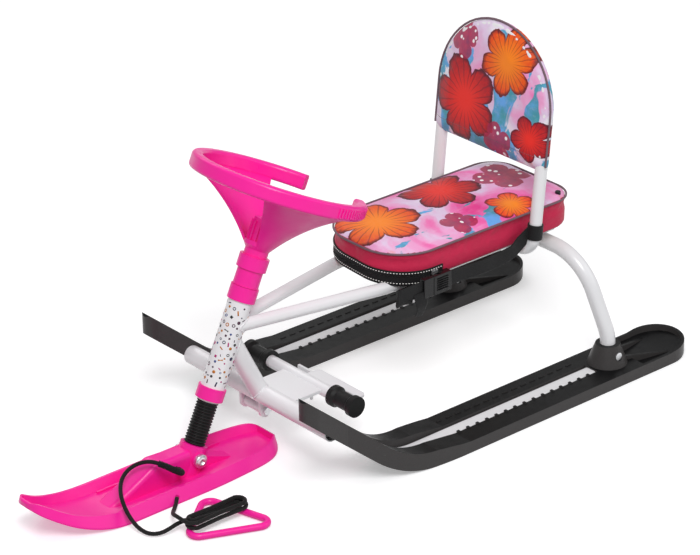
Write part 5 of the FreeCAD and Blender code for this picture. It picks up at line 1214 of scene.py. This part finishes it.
beads = [sweep(evenly(line, BEAD_STEP, True), bead_section, None, True) for line in weld_lines()]
add_piece("weld_beads", merge(beads), "frame", "white_paint")


# Confetti on the head tube: inks, chips and their sizes, and the bare part behind, where the rails are
HEAD_LOW, HEAD_HIGH, HEAD_MARGIN = 0.1427, 0.2817, 0.006
INKS = [
    (0.010, 0.012, 0.06), (0.05, 0.004, 0.03), (0.42, 0.008, 0.15), (0.03, 0.06, 0.24),
    (0.50, 0.16, 0.01), (0.008, 0.008, 0.010),
]
CHIPS = 140
CHIP_LEAST, CHIP_MOST, CHIP_APART = 0.0013, 0.0032, 0.0022
CHIP_LAYERS = (0.00016, 0.00002)
CHIP_STEPS = 14
BARE_ANGLE, BARE_ABOVE = 0.9, 0.185


def chip_shape(kind, size):
    """Points of a flat chip and the faces over them: a fan about its middle, or a ring."""
    if kind == "ring":
        pairs = [(k, (k + 1) % CHIP_STEPS) for k in range(CHIP_STEPS)]
        cap = [(k, n, CHIP_STEPS + n, CHIP_STEPS + k) for k, n in pairs]
        return circle(size, CHIP_STEPS) + circle(size * 0.55, CHIP_STEPS), cap
    if kind == "bar":
        rim = [(a * size * 1.3, b * size * 0.4) for a, b in SQUARE]
    else:
        rim = circle(size, CHIP_STEPS if kind == "dot" else 4)
    return [(0.0, 0.0)] + rim, [(0, 1 + k, 1 + (k + 1) % len(rim)) for k in range(len(rim))]


def chip(kind, size, angle, height, turn):
    """Thin chip laid round the tube."""
    outline, cap = chip_shape(kind, size)
    layer = len(outline)
    verts = []
    for lift in CHIP_LAYERS:
        for a, b in outline:
            x = a * cos(turn) - b * sin(turn)
            y = a * sin(turn) + b * cos(turn)
            verts.append(on_column(HEAD_RADIUS + lift, angle + x / HEAD_RADIUS, height + y))
    edges = [(face[k - 1], face[k]) for face in cap for k in range(len(face))]
    sides = [(b, a, a + layer, b + layer) for a, b in edges if (b, a) not in edges]
    under = [tuple(i + layer for i in reversed(face)) for face in cap]
    return verts, cap + under + sides


def head_confetti():
    """Dots, bars, squares and rings scattered over the tube in several colours."""
    inks = [moulded("confetti_ink_%d" % n, c, 0.3, spread=0.1) for n, c in enumerate(INKS)]
    chips, which, placed = [], [], []
    while len(placed) < CHIPS:
        angle = draw.uniform(-pi, pi)
        height = draw.uniform(HEAD_LOW + HEAD_MARGIN, HEAD_HIGH - HEAD_MARGIN)
        if abs(angle) < BARE_ANGLE and height > BARE_ABOVE:
            continue
        size = draw.uniform(CHIP_LEAST, CHIP_MOST)
        x = angle * HEAD_RADIUS
        if any(hypot(x - a, height - b) < size + s + CHIP_APART for a, b, s in placed):
            continue
        placed.append((x, height, size))
        kind = draw.choice(("dot", "bar", "square", "ring"))
        turn = draw.uniform(0, pi)
        ink = draw.randrange(len(inks))
        chips.append(chip(kind, size, angle, height, turn))
        which += [ink] * len(chips[-1][1])
    obj = add_object("head_tube_confetti", *merge(chips), inks)
    for polygon, ink in zip(obj.data.polygons, which):
        polygon.material_index = ink
    return obj


settle(head_confetti(), "frame", "white_paint")


# Floor and light
FLOOR_REACH, FLOOR_DROP = 14.0, 0.0004
LIGHTS = [
    ("key", (-1.6, -2.2, 3.2), (0, 0, 0.2), 1.5, 100),
    ("fill", (2.6, -2.4, 2.2), (0, 0, 0.2), 2.6, 22),
    ("rim", (0.8, 2.8, 2.6), (0, 0, 0.3), 2.2, 24),
]
WORLD_STRENGTH = 0.44

floor_material = moulded(
    "pale_floor", (0.86, 0.86, 0.87), 0.7, spread=0.01, grain=300.0, relief=0.03,
    Specular_IOR_Level=0.1, Emission_Color=(1.0, 1.0, 1.0), Emission_Strength=0.34,
)
floor_corners = [(a * FLOOR_REACH, b * FLOOR_REACH, 0) for a, b in SQUARE]
floor = add_object("floor", floor_corners, [(0, 1, 2, 3)], [floor_material], False)
floor.location.z = -FLOOR_DROP
floor.visible_diffuse = False
for light in LIGHTS:
    area_light(*light)
world = bpy.data.worlds.new("studio")
world.use_nodes = True
background = world.node_tree.nodes["Background"]
background.inputs["Color"].default_value = (1.0, 1.0, 1.0, 1.0)
background.inputs["Strength"].default_value = WORLD_STRENGTH
scene.world = world
scene.view_settings.view_transform = "Standard"
